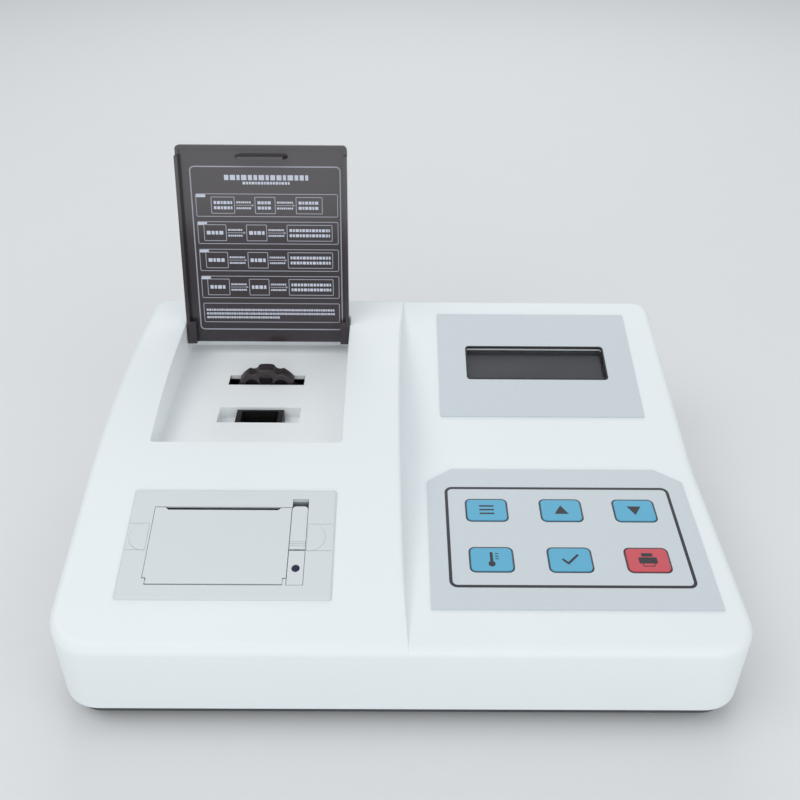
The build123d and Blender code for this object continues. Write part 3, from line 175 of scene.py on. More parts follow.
def newFinish(name, group, groupValues, shaderValues=None, bump=0.0):
    # the group gives colour, roughness and height; constants go straight on the shader
    material = bpy.data.materials.new(name)
    material.use_nodes = True
    tree = material.node_tree
    tree.nodes.clear()
    output = tree.nodes.new("ShaderNodeOutputMaterial")
    shader = addNode(tree, "BsdfPrincipled", values=shaderValues)
    texture = tree.nodes.new("ShaderNodeGroup")
    texture.node_tree = group
    texture.name = "texture"
    for key, value in groupValues.items():
        texture.inputs[key].default_value = value
    tree.links.new(texture.outputs["Colour"], shader.inputs["Base Color"])
    tree.links.new(texture.outputs["Roughness"], shader.inputs["Roughness"])
    if bump:
        relief = addNode(tree, "Bump", values={"Strength": bump, "Distance": bumpDistance},
                         links={"Height": texture.outputs["Height"]})
        tree.links.new(relief.outputs[0], shader.inputs["Normal"])
    tree.links.new(shader.outputs[0], output.inputs["Surface"])
    return material


def moulded(name, colour, grain=0.5, share=0.02, rough=0.5, bump=0.25):
    # grain in millimetres; share is how much lighter or darker the grain is
    return newFinish(name, mouldedGroup, {
        "Colour": (*colour, 1), "Grain Size": grain, "Grain Share": share, "Drift": 0.03, "Roughness": rough,
        "Scuff": 0.05}, None, bump)


def metal(name, colour):
    return newFinish(name, metalGroup, {"Colour": (*colour, 1), "Along": (1, 30, 30), "Roughness": 0.3},
                     {"Metallic": 1.0}, 0.1)


def film(name, colour):
    return newFinish(name, filmGroup, {"Colour": (*colour, 1), "Flake": 0.05, "Roughness": 0.45}, None, 0.15)


finishes = {
    "shell_plastic": moulded("shellPlastic", (0.79, 0.835, 0.855), grain=0.45, share=0.025, rough=0.46,
                             bump=0.2),
    "tray_plastic": moulded("trayPlastic", (0.055, 0.06, 0.065), rough=0.5, bump=0.3),
    "rubber": moulded("footRubber", (0.03, 0.03, 0.032), grain=0.8, rough=0.8, bump=0.4),
    "zinc_steel": metal("zincSteel", (0.62, 0.62, 0.6)),
    "smoked_plastic": moulded("smokedPlastic", (0.035, 0.028, 0.033), grain=3.0, share=0.05, rough=0.12,
                              bump=0),
    "spring_steel": metal("springSteel", (0.5, 0.5, 0.5)),
    "wheel_plastic": moulded("wheelPlastic", (0.025, 0.018, 0.02), grain=0.4, rough=0.42, bump=0.2),
    "filter_glass": moulded("filterGlass", (0.03, 0.022, 0.032), rough=0.12, bump=0),
    "black_plastic": moulded("blackPlastic", (0.012, 0.012, 0.013), grain=0.4, rough=0.45, bump=0.25),
    "optical_glass": newFinish("opticalGlass", mouldedGroup, {
        "Colour": (0.86, 0.9, 0.92, 1), "Grain Share": 0.01, "Roughness": 0.02, "Roughness Drift": 0.01,
        "Scuff": 0.02}, {"Transmission Weight": 1.0, "IOR": 1.47}),
    "board_green": moulded("boardGreen", (0.02, 0.16, 0.06), rough=0.35, bump=0.1),
    "photo_can": metal("photoCan", (0.7, 0.68, 0.6)),
    "label_plate": film("labelPlate", (0.575, 0.63, 0.665)),
    "key_blue": moulded("keyBlue", (0.1, 0.4, 0.6), grain=0.7, rough=0.42, bump=0.1),
    "key_red": moulded("keyRed", (0.58, 0.075, 0.1), grain=0.7, rough=0.42, bump=0.1),
    "lcd_glass": moulded("lcdGlass", (0.135, 0.13, 0.143), rough=0.16, bump=0),
    "printer_plastic": moulded("printerPlastic", (0.64, 0.685, 0.71), rough=0.5, bump=0.2),
    "bezel_black": moulded("bezelBlack", (0.02, 0.02, 0.022), rough=0.45, bump=0.2),
    "metal_grey": metal("metalGrey", (0.45, 0.45, 0.46)),
    "gear_white": moulded("gearWhite", (0.75, 0.75, 0.72), rough=0.4, bump=0.1),
    "paper": moulded("thermalPaper", (0.88, 0.88, 0.85), grain=0.3, share=0.04, rough=0.75, bump=0.3),
    "led_dark": moulded("ledDark", (0.012, 0.015, 0.05), rough=0.15, bump=0),
    "copper_domes": metal("domeMetal", (0.75, 0.55, 0.35)),
}

# painted light: a paler copy of the shell plastic for the sunken well, brighter than the shell so that the
# well reads as lit
wellPaintedLight = moulded("wellPaintedLight", (0.9, 0.93, 0.945), grain=0.45, share=0.025, rough=0.46, bump=0.2)
printGrey = moulded("printGrey", (0.36, 0.36, 0.42), grain=0.25, share=0.08, rough=0.5, bump=0.05)
printPale = moulded("printPale", (0.55, 0.58, 0.68), grain=0.25, share=0.08, rough=0.5, bump=0.05)
printBlack = moulded("printBlack", (0.02, 0.02, 0.028), grain=0.25, share=0.05, rough=0.42, bump=0.05)

for entry in frame["record"]["subparts"]:
    mesh = nodes[entry["node"]].data
    mesh.materials.clear()
    mesh.materials.append(finishes[entry["material_slot"]])
print("finishes ready")


# Thin solids, as arrays of points and faces

barCorner = {"radius": 0.15, "share": 0.45, "steps": 3}  # share: the most of a side that a corner takes


def planeFrame(origin, across, along):
    # a flat working plane in metres: across and along are unit directions, the third points out of it
    across, along = np.array(across, float), np.array(along, float)
    return np.array(origin, float), np.stack([across, along, np.cross(across, along)])


def placeOn(plane, points):
    # millimetres in the plane -> metres in the scene
    origin, axes = plane
    return origin + (points / 1000.0) @ axes


def roundedPath(x0, x1, y0, y1, radius, steps=6):
    # corner points: centre of each corner plus radius times (cos, sin) of a quarter turn
    turn = np.linspace(0, np.pi / 2, steps)[None, :] + np.array([0, 0.5, 1, 1.5])[:, None] * np.pi
    middle = np.array([[x1 - radius, y1 - radius], [x0 + radius, y1 - radius],
                       [x0 + radius, y0 + radius], [x1 - radius, y0 + radius]])[:, None, :]
    return (middle + radius * np.stack([np.cos(turn), np.sin(turn)], -1)).reshape(-1, 2)


def discPath(x, y, radius, steps=32):
    # middle plus radius times (cos, sin) of a full turn
    turn = np.linspace(0, 2 * np.pi, steps, endpoint=False)
    return np.stack([x + radius * np.cos(turn), y + radius * np.sin(turn)], -1)


def ringSolid(path, width, low, high):
    # flat band carried round a closed path: each corner is mitred along the sum of its two side normals
    ahead = np.roll(path, -1, 0) - path
    ahead /= np.linalg.norm(ahead, axis=1)[:, None]
    side = np.stack([ahead[:, 1], -ahead[:, 0]], -1)
    before = np.roll(side, 1, 0)
    mitre = (side + before) / (1 + np.sum(side * before, 1))[:, None]
    inner, outer = path - mitre * width / 2, path + mitre * width / 2
    corners = [(inner, low), (inner, high), (outer, high), (outer, low)]
    points = np.stack([np.column_stack([p, np.full(len(p), z)]) for p, z in corners], 1)
    rows, columns = points.shape[:2]
    index = np.arange(rows * columns).reshape(rows, columns)
    nextRow, nextColumn = np.roll(index, -1, 0), np.roll(index, -1, 1)
    quads = np.stack([index, nextColumn, np.roll(nextRow, -1, 1), nextRow], -1).reshape(-1, 4)
    return points.reshape(-1, 3), quads


def patchSolid(outline, low, high):
    # thin solid over a ring of points seen from its middle: fan, wall, fan
    count = len(outline)
    middle = outline.mean(0)
    points = np.vstack([[*middle, high], np.column_stack([outline, np.full(count, high)]),
                        np.column_stack([outline, np.full(count, low)]), [*middle, low]])
    top = np.arange(1, count + 1)
    topNext = np.roll(top, -1)
    first, last = np.zeros(count, int), np.full(count, 2 * count + 1)
    faces = np.vstack([np.stack([first, top, topNext, first], -1),
                       np.stack([top, top + count, topNext + count, topNext], -1),
                       np.stack([last, topNext + count, top + count, last], -1)])
    return points, faces


def barSolid(x0, x1, y0, y1, low, high, radius=barCorner["radius"]):
    # rounded rectangle; a corner takes at most a little less than half of each side
    radius = min(radius, barCorner["share"] * (x1 - x0), barCorner["share"] * (y1 - y0))
    return patchSolid(roundedPath(x0, x1, y0, y1, radius, barCorner["steps"]), low, high)


def strokeSolid(start, end, width, low, high):
    # straight bar from start to end, as four corners square to its direction
    start, end = np.array(start, float), np.array(end, float)
    ahead = (end - start) / np.linalg.norm(end - start)
    side = np.array([ahead[1], -ahead[0]]) * width / 2
    return patchSolid(np.array([start + side, end + side, end - side, start - side]), low, high)


def gridQuads(index):
    # quads over a grid of point numbers, facing along row x column
    return np.stack([index[:-1, :-1], index[:-1, 1:], index[1:, 1:], index[1:, :-1]], -1).reshape(-1, 4)


def borderOf(grid):
    # once round a grid: first row, last column, last row back, first column back
    return np.concatenate([grid[0], grid[1:-1, -1], grid[-1, ::-1], grid[-2:0:-1, 0]])


def skirtQuads(inner, outer):
    # quads between two rings of point numbers
    return np.stack([inner, outer, np.roll(outer, -1), np.roll(inner, -1)], -1)


def meshObject(name, solids):
    # joins the solids' point and face arrays into one object; a repeated corner makes a quad a triangle
    points, faces, count = [], [], 0
    for solidPoints, solidFaces in solids:
        points.append(solidPoints)
        faces += [list(dict.fromkeys(face)) for face in (solidFaces + count).tolist()]
        count += len(solidPoints)
    mesh = bpy.data.meshes.new(name)
    mesh.from_pydata(np.vstack(points).tolist(), [], faces)
    mesh.update()
    piece = bpy.data.objects.new(name, mesh)
    bpy.context.scene.collection.objects.link(piece)
    return piece


def newPrint(name, solids, plane, body, material):
    # a thin piece on a plane that rides on a body and takes its slot
    piece = meshObject(name, [(placeOn(plane, points), faces) for points, faces in solids])
    piece.data.validate()
    piece.data.materials.append(material)
    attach(piece, body)


# Printed chart on the lid's inner face

lidPrint = {  # millimetres across and up the lid's inner face, from the middle of the hinge line
    "frame": (-46.2, 50.0, -0.6, 108.4), "frameRadius": 2.6, "frameLine": 0.75, "line": 0.45,
    "rows": ((76.4, 91.0), (58.4, 72.9), (40.1, 54.6), (21.5, 36.4)), "rowSpan": (-43.6, 48.1),
    "rowRadius": 0.8, "tag": (6.2, 2.2), "firstBoxes": ((-33.8, -18.8), (-5.4, 7.6), (21.2, 38.1)),
    "boxes": ((-39.6, -25.2), (-11.8, 1.3), (14.7, 44.2)), "boxInset": 2.0, "boxRadius": 0.4,
    "boxMargins": (1.6, 1.4), "oneLine": 2.4, "twoLines": 1.9, "twoLineOffset": 1.7,
    "arrowMargins": (0.8, 1.6), "arrowLine": 0.4, "arrowTip": (2.2, 0.6, 0.9), "arrowPhases": (0.4, 1.9),
    "arrowTextMargins": (1.2, 2.0), "arrowTextOffset": 1.9, "arrowText": 1.2,
    "notePanel": (4.5, 17.6), "notePanelInset": 0.3, "noteLines": (13.0, 10.4, 7.8), "noteHeight": 1.45,
    "noteMargins": (2.0, 2.5), "lastNoteMargin": 40.0, "notePhase": 0.7,
    "title": (-24.5, 29.5, 101.5, 3.3), "subtitle": (-12.8, 18.6, 98.0, 1.7),
    "blockWidth": 0.85, "blockSwing": 0.25, "blockTurn": 2.4, "blockGap": 0.28, "blockRadius": 0.1,
    "raised": 0.05, "sunk": -0.02}
lidLean = {"hinge": (-90.55, 101.5, 99.5), "lean": 13.0, "innerFace": 2.0}  # millimetres and degrees


def lidPlane():
    # the inner face: up = (0, sin lean, cos lean), from the hinge line less the face's distance
    lean = math.radians(lidLean["lean"])
    up = np.array([0, math.sin(lean), math.cos(lean)])
    out = np.array([0, -math.cos(lean), math.sin(lean)])
    hinge = np.array(lidLean["hinge"]) - out * lidLean["innerFace"]
    return planeFrame(hinge / 1000 + np.array([0, caseMiddleY, 0]), (1, 0, 0), up)


def blockLine(x0, x1, middle, height, phase=0.0):
    # a line of plain blocks: width = height (share + swing sin(turn number + phase))
    v = lidPrint
    solids, x, count = [], x0, 0
    while x < x1 - height / 2:
        width = height * (v["blockWidth"] + v["blockSwing"] * math.sin(v["blockTurn"] * count + phase))
        solids.append(barSolid(x, min(x + width, x1), middle - height / 2, middle + height / 2,
                               v["sunk"], v["raised"], v["blockRadius"]))
        x += width + height * v["blockGap"]
        count += 1
    return solids


def chartArrow(left, right, middle, phase):
    # a stroke with a triangle at its end, and a line of blocks above and below it
    v = lidPrint
    low, high = v["sunk"], v["raised"]
    start, end = v["arrowMargins"]
    back, front, half = v["arrowTip"]
    tip = np.array([[right - back, middle + half], [right - back, middle - half], [right - front, middle]])
    lines = [strokeSolid((left + start, middle), (right - end, middle), v["arrowLine"], low, high),
             patchSolid(tip, low, high)]
    first, last = left + v["arrowTextMargins"][0], right - v["arrowTextMargins"][1]
    blocks = []
    for offset in (-v["arrowTextOffset"], v["arrowTextOffset"]):
        blocks += blockLine(first, last, middle + offset, v["arrowText"], phase)
    return lines, blocks


def chartRow(number, y0, y1):
    # panel, tag, three boxes with blocks in them, and two arrows between the boxes
    # the first row and every third box have two lines of blocks
    v = lidPrint
    low, high = v["sunk"], v["raised"]
    x0, x1 = v["rowSpan"]
    middle = (y0 + y1) / 2
    inset = v["boxInset"]
    lines = [ringSolid(roundedPath(x0, x1, y0, y1, v["rowRadius"]), v["line"], low, high)]
    blocks = [barSolid(x0, x0 + v["tag"][0], y1 - v["tag"][1], y1, low, high)]
    spans = v["firstBoxes"] if number == 0 else v["boxes"]
    for boxNumber, (left, right) in enumerate(spans):
        path = roundedPath(left, right, y0 + inset, y1 - inset, v["boxRadius"])
        lines.append(ringSolid(path, v["line"], low, high))
        first, last = left + v["boxMargins"][0], right - v["boxMargins"][1]
        offsets, height = (0.0,), v["oneLine"]
        if boxNumber == 2 or number == 0:
            offsets, height = (-v["twoLineOffset"], v["twoLineOffset"]), v["twoLines"]
        for offset in offsets:
            blocks += blockLine(first, last, middle + offset, height, number + boxNumber)
    for before, after, phase in zip(spans, spans[1:], v["arrowPhases"]):
        arrowLines, arrowBlocks = chartArrow(before[1], after[0], middle, phase + number)
        lines += arrowLines
        blocks += arrowBlocks
    return lines, blocks


def buildLidPrint():
    # frame, two title lines, four rows and a panel of notes; lines and blocks are two pieces
    v = lidPrint
    low, high = v["sunk"], v["raised"]
    lines = [ringSolid(roundedPath(*v["frame"], v["frameRadius"]), v["frameLine"], low, high)]
    blocks = blockLine(*v["title"]) + blockLine(*v["subtitle"], 1.0)
    for number, (y0, y1) in enumerate(v["rows"]):
        rowLines, rowBlocks = chartRow(number, y0, y1)
        lines += rowLines
        blocks += rowBlocks
    x0, x1 = v["rowSpan"]
    path = roundedPath(x0 + v["notePanelInset"], x1, *v["notePanel"], v["rowRadius"])
    lines.append(ringSolid(path, v["line"], low, high))
    for number, y in enumerate(v["noteLines"]):
        left, right = v["noteMargins"]
        if number == 2:
            right = v["lastNoteMargin"]
        blocks += blockLine(x0 + left, x1 - right, y, v["noteHeight"], v["notePhase"] * number)
    newPrint("lidPrintLines", lines, lidPlane(), "lid", printGrey)
    newPrint("lidPrintBlocks", blocks, lidPlane(), "lid", printPale)


# Printed frame and key signs on the key pad

padPrint = {  # millimetres and degrees in the key pad's own plane
    "slope": 3.99, "heightAtMiddle": 68.26, "plateTop": 1.0, "frame": (25.6, 154.8, -97.2, -24.6),
    "frameRadius": 3.5, "frameLine": 1.75, "keyColumns": (48.2, 90.7, 132.7), "keyRows": (-42.4, -79.1),
    "keySize": (22.5, 16.0), "keyRadius": 2.5, "outline": 0.62, "outlineGap": 0.32, "capTop": 1.5,
    "raised": 0.05, "sunk": -0.03}
keySigns = {  # millimetres from the middle of a key; four numbers are left, right, front and rear
    "menuBars": [(-4.2, 4.2, y - 0.55, y + 0.55) for y in (-2.9, 0, 2.9)],
    "arrow": ((0, 3.6), (-4.0, -3.0), (4.0, -3.0)), "bulbRadius": 1.9, "bulbMiddle": -3.2,
    "bulbSteps": 24,
    "stem": (-0.8, 0.8, -2.6, 5.0), "stemRadius": 0.75,
    "marks": [(2.0, 3.9, y - 0.3, y + 0.3) for y in (0.2, 2.0, 3.8)], "markRadius": 0.1,
    "tick": (((-4.2, 0.2), (-1.1, -2.9)), ((-1.55, -3.1), (4.6, 3.4))), "tickLine": 1.3,
    "printer": (-5.0, 5.0, -2.6, 1.7), "printerRadius": 0.6, "printerTop": (-3.0, 3.0, 2.3, 4.6),
    "sheet": (-3.0, 3.0, -4.4, -0.4), "sheetRadius": 0.3, "sheetLine": 0.5, "over": 0.01}


def padPlane():
    # along the right deck's front run: (0, cos slope, sin slope)
    slope = math.radians(padPrint["slope"])
    origin = (0, caseMiddleY, padPrint["heightAtMiddle"] / 1000)
    return planeFrame(origin, (1, 0, 0), (0, math.cos(slope), math.sin(slope)))


def moved(span, x, y):
    # a span given from the middle of a key, put at that key
    return x + span[0], x + span[1], y + span[2], y + span[3]


def keySign(kind, x, y, low, high):
    # bars, triangle, thermometer, tick or printer; parts that cross others stand a hair higher
    v = keySigns
    over = high + v["over"]
    if kind == "menu":
        return [barSolid(*moved(bar, x, y), low, high) for bar in v["menuBars"]]
    if kind in ("up", "down"):
        sign = 1 if kind == "up" else -1
        points = np.array(v["arrow"]) * (1, sign)
        return [patchSolid(points[::sign] + (x, y), low, high)]
    if kind == "temperature":
        bulb = discPath(x, y + v["bulbMiddle"], v["bulbRadius"], v["bulbSteps"])
        stem = barSolid(*moved(v["stem"], x, y), low, high, v["stemRadius"])
        marks = [barSolid(*moved(mark, x, y), low, high, v["markRadius"]) for mark in v["marks"]]
        return [patchSolid(bulb, low, over), stem] + marks
    if kind == "confirm":
        short, long = np.array(v["tick"]) + (x, y)
        return [strokeSolid(*short, v["tickLine"], low, high), strokeSolid(*long, v["tickLine"], low, over)]
    sheet = roundedPath(*moved(v["sheet"], x, y), v["sheetRadius"])
    return [barSolid(*moved(v["printer"], x, y), low, high, v["printerRadius"]),
            barSolid(*moved(v["printerTop"], x, y), low, high), ringSolid(sheet, v["sheetLine"], low, over)]


def aroundKey(x, y, grow):
    # the outline of a key, grown by a margin
    halfLong, halfWide = (size / 2 + grow for size in padPrint["keySize"])
    return x - halfLong, x + halfLong, y - halfWide, y + halfWide


def buildPadPrint():
    # the frame, an outline round each key, and a sign on each key that rides on that key
    v = padPrint
    plane = padPlane()
    low, high = v["plateTop"] + v["sunk"], v["plateTop"] + v["raised"]
    rings = [ringSolid(roundedPath(*v["frame"], v["frameRadius"]), v["frameLine"], low, high)]
    grow = v["outlineGap"] + v["outline"] / 2
    kinds = (("menu", "up", "down"), ("temperature", "confirm", "print"))
    for y, rowKinds in zip(v["keyRows"], kinds):
        for x, kind in zip(v["keyColumns"], rowKinds):
            path = roundedPath(*aroundKey(x, y, grow), v["keyRadius"] + grow)
            rings.append(ringSolid(path, v["outline"], low, high))
            sign = keySign(kind, x, y, v["capTop"] + v["sunk"], v["capTop"] + v["raised"])
            newPrint("sign_" + kind, sign, plane, kind + "_key", printBlack)
    newPrint("padPrintLines", rings, plane, "case", printBlack)


buildLidPrint()
buildPadPrint()
print("prints ready")


# Upper housing: one skin with a rounded rim and a soft ridge, its wall, and the openings cut through it

shellShape = {  # millimetres and degrees, origin under the middle of the housing
    "halfDepth": 137.0, "halfFront": 179.25, "halfRear": 173.5, "cornerFront": 22.0, "cornerRear": 11.0,
    "edge": 5.0, "wall": 3.0, "seam": 14.0, "frontTop": 58.7, "rearTop": 103.9, "sharpAngle": 32,
    "leftSlopes": (16.49, 0.0), "leftKnee": (15.7, 440.3), "rightSlopes": (3.99, 14.55),
    "rightKnee": (-0.49, 80.0), "ridge": (3.0, -0.9, 1.2), "ridgeTopRadius": 3.2, "ridgeFootRadius": 6.5,
    "ridgeLeast": 0.7}
shellSteps = {  # how finely the skin is divided
    "corner": 7, "band": 7, "left": 26, "right": 26, "side": 70, "rim": 7, "wall": (0.33, 0.66, 1.0),
    "tub": (4, 40), "wellCorner": 5, "wellSide": 12, "lip": 5, "upright": 4, "catch": 16}
openings = {  # millimetres; four numbers are left, right, front and rear, or low and high
    "well": (-145.8, -35.3, -15.0, 112.4), "wellCorner": 1.5, "wellFloor": 80.0, "lip": 0.7,
    "aboveWell": 25.0, "tubBelowDeck": 1.4, "slot": (-114.0, -64.4, 63.15, 74.45), "uprightRadius": 0.05,
    "grip": (-115.2, -64.0, 21.8, 37.8),
    "gripFloor": 72.0, "holderHole": (-104.6, -74.6, 21.9, 37.7), "below": 8, "above": 1, "through": (-9, 5),
    "window": (42.45, 135.25, 65.0, 95.0), "windowRadius": 2.5, "keyGap": 0.25,
    "printerHole": (-143.3, -40.4, -111.8, -54.7), "printerRadius": 0.3, "printerThrough": (-20, 8),
    "rearPorts": ((94.5, 113.5, 35.5, 48.5), (44.5, 65.5, 36.9, 47.1)), "portRadius": 0.2,
    "jack": (135.0, 42.0, 5.5), "hinge": (101.5, 99.5, 1.85), "hingeDepths": (2.8, 3),
    "catches": (-94.6, -84.6), "catchRadius": 0.85, "catchDrop": 3.0, "catchDepths": (-6, 1)}
# where the well's painted light and the slot walls' painted shade begin and end
zones = {  # millimetres
    "wellMargin": 1.2, "belowDeck": 0.9, "slotMargin": 0.3, "belowFloor": 0.6, "lowest": 60}


def deckHeight(y, slopes, knee):
    # two straight runs joined by an arc; the arc starts and ends radius x tan(half the bend) from the knee
    v = shellShape
    front, rear = math.radians(slopes[0]), math.radians(slopes[1])
    kneeY, radius = knee
    bulge = 1.0 if front > rear else -1.0
    frontRun = v["frontTop"] + (y + v["halfDepth"]) * math.tan(front)
    rearRun = v["rearTop"] - (v["halfDepth"] - y) * math.tan(rear)
    reach = radius * math.tan(abs(front - rear) / 2)
    kneeZ = v["frontTop"] + (kneeY + v["halfDepth"]) * math.tan(front)
    startY, startZ = kneeY - reach * math.cos(front), kneeZ - reach * math.sin(front)
    endY = kneeY + reach * math.cos(rear)
    middleY, middleZ = startY + bulge * radius * math.sin(front), startZ - bulge * radius * math.cos(front)
    arc = middleZ + bulge * np.sqrt(np.clip(radius ** 2 - (y - middleY) ** 2, 0, None))
    return np.where(y < startY, frontRun, np.where(y > endY, rearRun, arc))


def leftDeck(y):
    return deckHeight(y, shellShape["leftSlopes"], shellShape["leftKnee"])


def rightDeck(y):
    return deckHeight(y, shellShape["rightSlopes"], shellShape["rightKnee"])


def ridgeLine(y):
    # shallow bow through three places: front, middle, rear
    front, middle, rear = shellShape["ridge"]
    along = y / shellShape["halfDepth"]
    return middle + ((front + rear) / 2 - middle) * along ** 2 + (rear - front) / 2 * along


def ridgeProfile(y):
    # across the ridge: a quarter ellipse over the top, then one into the foot
    # gives each column's distance from the ridge line, and its height
    v = shellShape
    step = np.linspace(0, np.pi / 2, shellSteps["band"] + 1)
    left, right = leftDeck(y)[..., None], rightDeck(y)[..., None]
    drop = left - right
    share = np.clip(drop / (v["ridgeTopRadius"] + v["ridgeFootRadius"]), 0, 1)
    topDown, footDown = v["ridgeTopRadius"] * share, v["ridgeFootRadius"] * share
    topWide, footWide = np.maximum(topDown, v["ridgeLeast"]), np.maximum(footDown, v["ridgeLeast"])
    topX, topZ = topWide * (np.sin(step) - 1), left - topDown * (1 - np.cos(step))
    footX, footZ = footWide * (1 - np.cos(step)), right + footDown * (1 - np.sin(step))
    return np.concatenate([topX, footX], -1), np.concatenate([topZ, footZ], -1)


def sideLean():
    # tan lean = (half width in front - half width behind) / depth
    v = shellShape
    return math.atan2(v["halfFront"] - v["halfRear"], 2 * v["halfDepth"])


def cornerCentre(radius, end):
    # centre of a corner arc: its radius away from the end line and from the leaning side line
    v = shellShape
    lean = sideLean()
    half = v["halfFront"] if end < 0 else v["halfRear"]
    return half - radius * (1 - end * math.sin(lean)) / math.cos(lean), end * (v["halfDepth"] - radius)


def cornerArc(radius, end, inset, start, stop):
    # corner's centre plus (radius - inset) times (cos, sin) of the turn
    x, y = cornerCentre(radius, end)
    turn = np.linspace(start, stop, shellSteps["corner"] + 1)
    return np.stack([x + (radius - inset) * np.cos(turn), y + (radius - inset) * np.sin(turn)], -1)


def endRow(inset, end):
    # front or rear edge, from the middle of one corner to the middle of the other
    # the ridge's columns stand close together in it
    v = shellShape
    lean = sideLean()
    radius = v["cornerFront"] if end < 0 else v["cornerRear"]
    outer = end * math.pi / 2
    arc = cornerArc(radius, end, inset, outer, (outer + lean) / 2)
    cornerX, cornerY = cornerCentre(radius, end)
    y = cornerY + end * (radius - inset)
    band = ridgeLine(y) + ridgeProfile(np.array(y))[0]
    left = np.linspace(-cornerX, band[0], shellSteps["left"] + 1)[1:-1]
    right = np.linspace(band[-1], cornerX, shellSteps["right"] + 1)[1:-1]
    x = np.concatenate([left, band, right])
    straight = np.stack([x, np.full_like(x, y)], -1)
    return np.vstack([arc[::-1] * (-1, 1), straight, arc])


def sideColumn(inset):
    # right edge from the middle of the front corner to the middle of the rear corner
    v = shellShape
    lean = sideLean()
    front = cornerArc(v["cornerFront"], -1, inset, (lean - math.pi / 2) / 2, lean)
    rear = cornerArc(v["cornerRear"], 1, inset, lean, (lean + math.pi / 2) / 2)
    share = np.linspace(0, 1, shellSteps["side"])[1:-1, None]
    return np.vstack([front, front[-1] + share * (rear[0] - front[-1]), rear])


def outlineLoop(inset):
    # the housing's outline moved in by the inset: front, right, rear, left
    front, rear, right = endRow(inset, -1), endRow(inset, 1), sideColumn(inset)
    left = right * (-1, 1)
    return np.vstack([front, right[1:-1], rear[::-1], left[::-1][1:-1]])


def patchPlan(front, rear, right):
    # blend of the four edges: front to rear plus left to right minus the corners' own blend
    left = right * (-1, 1)
    u = ((front[:, 0] - front[0, 0]) / (front[-1, 0] - front[0, 0]))[None, :, None]
    w = ((right[:, 1] - right[0, 1]) / (right[-1, 1] - right[0, 1]))[:, None, None]
    between = (1 - w) * front[None] + w * rear[None]
    across = (1 - u) * left[:, None] + u * right[:, None]
    corners = (1 - w) * ((1 - u) * front[0] + u * front[-1]) + w * ((1 - u) * rear[0] + u * rear[-1])
    return between + across - corners


def ridgeColumns():
    # numbers of the ridge's first and last column
    first = shellSteps["corner"] + shellSteps["left"]
    return first, first + 2 * shellSteps["band"] + 1


def bendToRidge(plan):
    # slides each row sideways so that its ridge columns lie on the ridge line, fading out to both sides
    first, last = ridgeColumns()
    y = plan[:, :, 1]
    rowY = y[:, first]
    target = ridgeLine(rowY)[:, None] + ridgeProfile(rowY)[0]
    x = plan[:, :, 0].copy()
    fadeLeft = np.linspace(0, 1, first + 1)
    fadeRight = np.linspace(1, 0, x.shape[1] - last)
    x[:, :first + 1] += fadeLeft * (target[:, :1] - plan[:, first:first + 1, 0])
    x[:, last:] += fadeRight * (target[:, -1:] - plan[:, last:last + 1, 0])
    x[:, first:last + 1] = target
    return np.stack([x, y], -1)


def columnHeight(plan, columns):
    # left deck, ridge profile or right deck, by the column that a point belongs to
    first, last = ridgeColumns()
    profile = ridgeProfile(plan[..., 1])[1]
    inBand = np.clip(columns - first, 0, last - first)
    height = np.take_along_axis(profile, inBand[..., None], -1)[..., 0]
    height = np.where(columns < first, leftDeck(plan[..., 1]), height)
    return np.where(columns > last, rightDeck(plan[..., 1]), height)


def shellSkin():
    # the decks as one grid over the plan, then rings round the rim: inset = edge (1 - sin turn),
    # drop = edge (1 - cos turn), and straight walls down to the seam
    v = shellShape
    plan = bendToRidge(patchPlan(endRow(v["edge"], -1), endRow(v["edge"], 1), sideColumn(v["edge"])))
    rows, columns = plan.shape[:2]
    columnNumber = np.broadcast_to(np.arange(columns), (rows, columns))
    grid = np.concatenate([plan, columnHeight(plan, columnNumber)[..., None]], -1)
    index = np.arange(rows * columns).reshape(rows, columns)
    ringColumn = borderOf(columnNumber)
    rings = []
    for turn in np.linspace(0, np.pi / 2, shellSteps["rim"] + 1)[1:]:
        loop = outlineLoop(v["edge"] * (1 - math.sin(turn)))
        height = columnHeight(loop, ringColumn) - v["edge"] * (1 - math.cos(turn))
        rings.append(np.column_stack([loop, height]))
    lowest = rings[-1]
    for share in shellSteps["wall"]:
        ring = lowest.copy()
        ring[:, 2] = lowest[:, 2] + share * (v["seam"] - lowest[:, 2])
        rings.append(ring)
    quads = [gridQuads(index)]
    inner, count = borderOf(index), rows * columns
    for ring in rings:
        outer = np.arange(len(ring)) + count
        quads.append(skirtQuads(inner, outer))
        inner, count = outer, count + len(ring)
    return np.vstack([grid.reshape(-1, 3)] + rings), np.vstack(quads)


def inScene(points):
    # millimetres from the housing's middle -> metres in the scene
    return points / 1000.0 + np.array([0, caseMiddleY, 0])


def uprightSolid(span, low, high):
    # upright block between two heights
    path = roundedPath(*span, openings["uprightRadius"], shellSteps["upright"])
    points, faces = patchSolid(path, low, high)
    return inScene(points), faces


def grown(span, margin):
    # a span made larger by a margin on all four sides
    x0, x1, y0, y1 = span
    return x0 - margin, x1 + margin, y0 - margin, y1 + margin


def underDeckBlock(span, low, below):
    # block whose top runs a little under the deck: height = left deck - a distance
    x0, x1, y0, y1 = span
    across, along = shellSteps["tub"]
    x, y = np.meshgrid(np.linspace(x0, x1, across), np.linspace(y0, y1, along))
    top = np.stack([x, y, leftDeck(y) - below], -1)
    bottom = np.stack([x, y, np.full_like(x, low)], -1)
    index = np.arange(x.size).reshape(x.shape)
    under = index + x.size
    quads = [gridQuads(index), gridQuads(under)[:, ::-1], skirtQuads(borderOf(index), borderOf(under))]
    return inScene(np.vstack([top.reshape(-1, 3), bottom.reshape(-1, 3)])), np.vstack(quads)


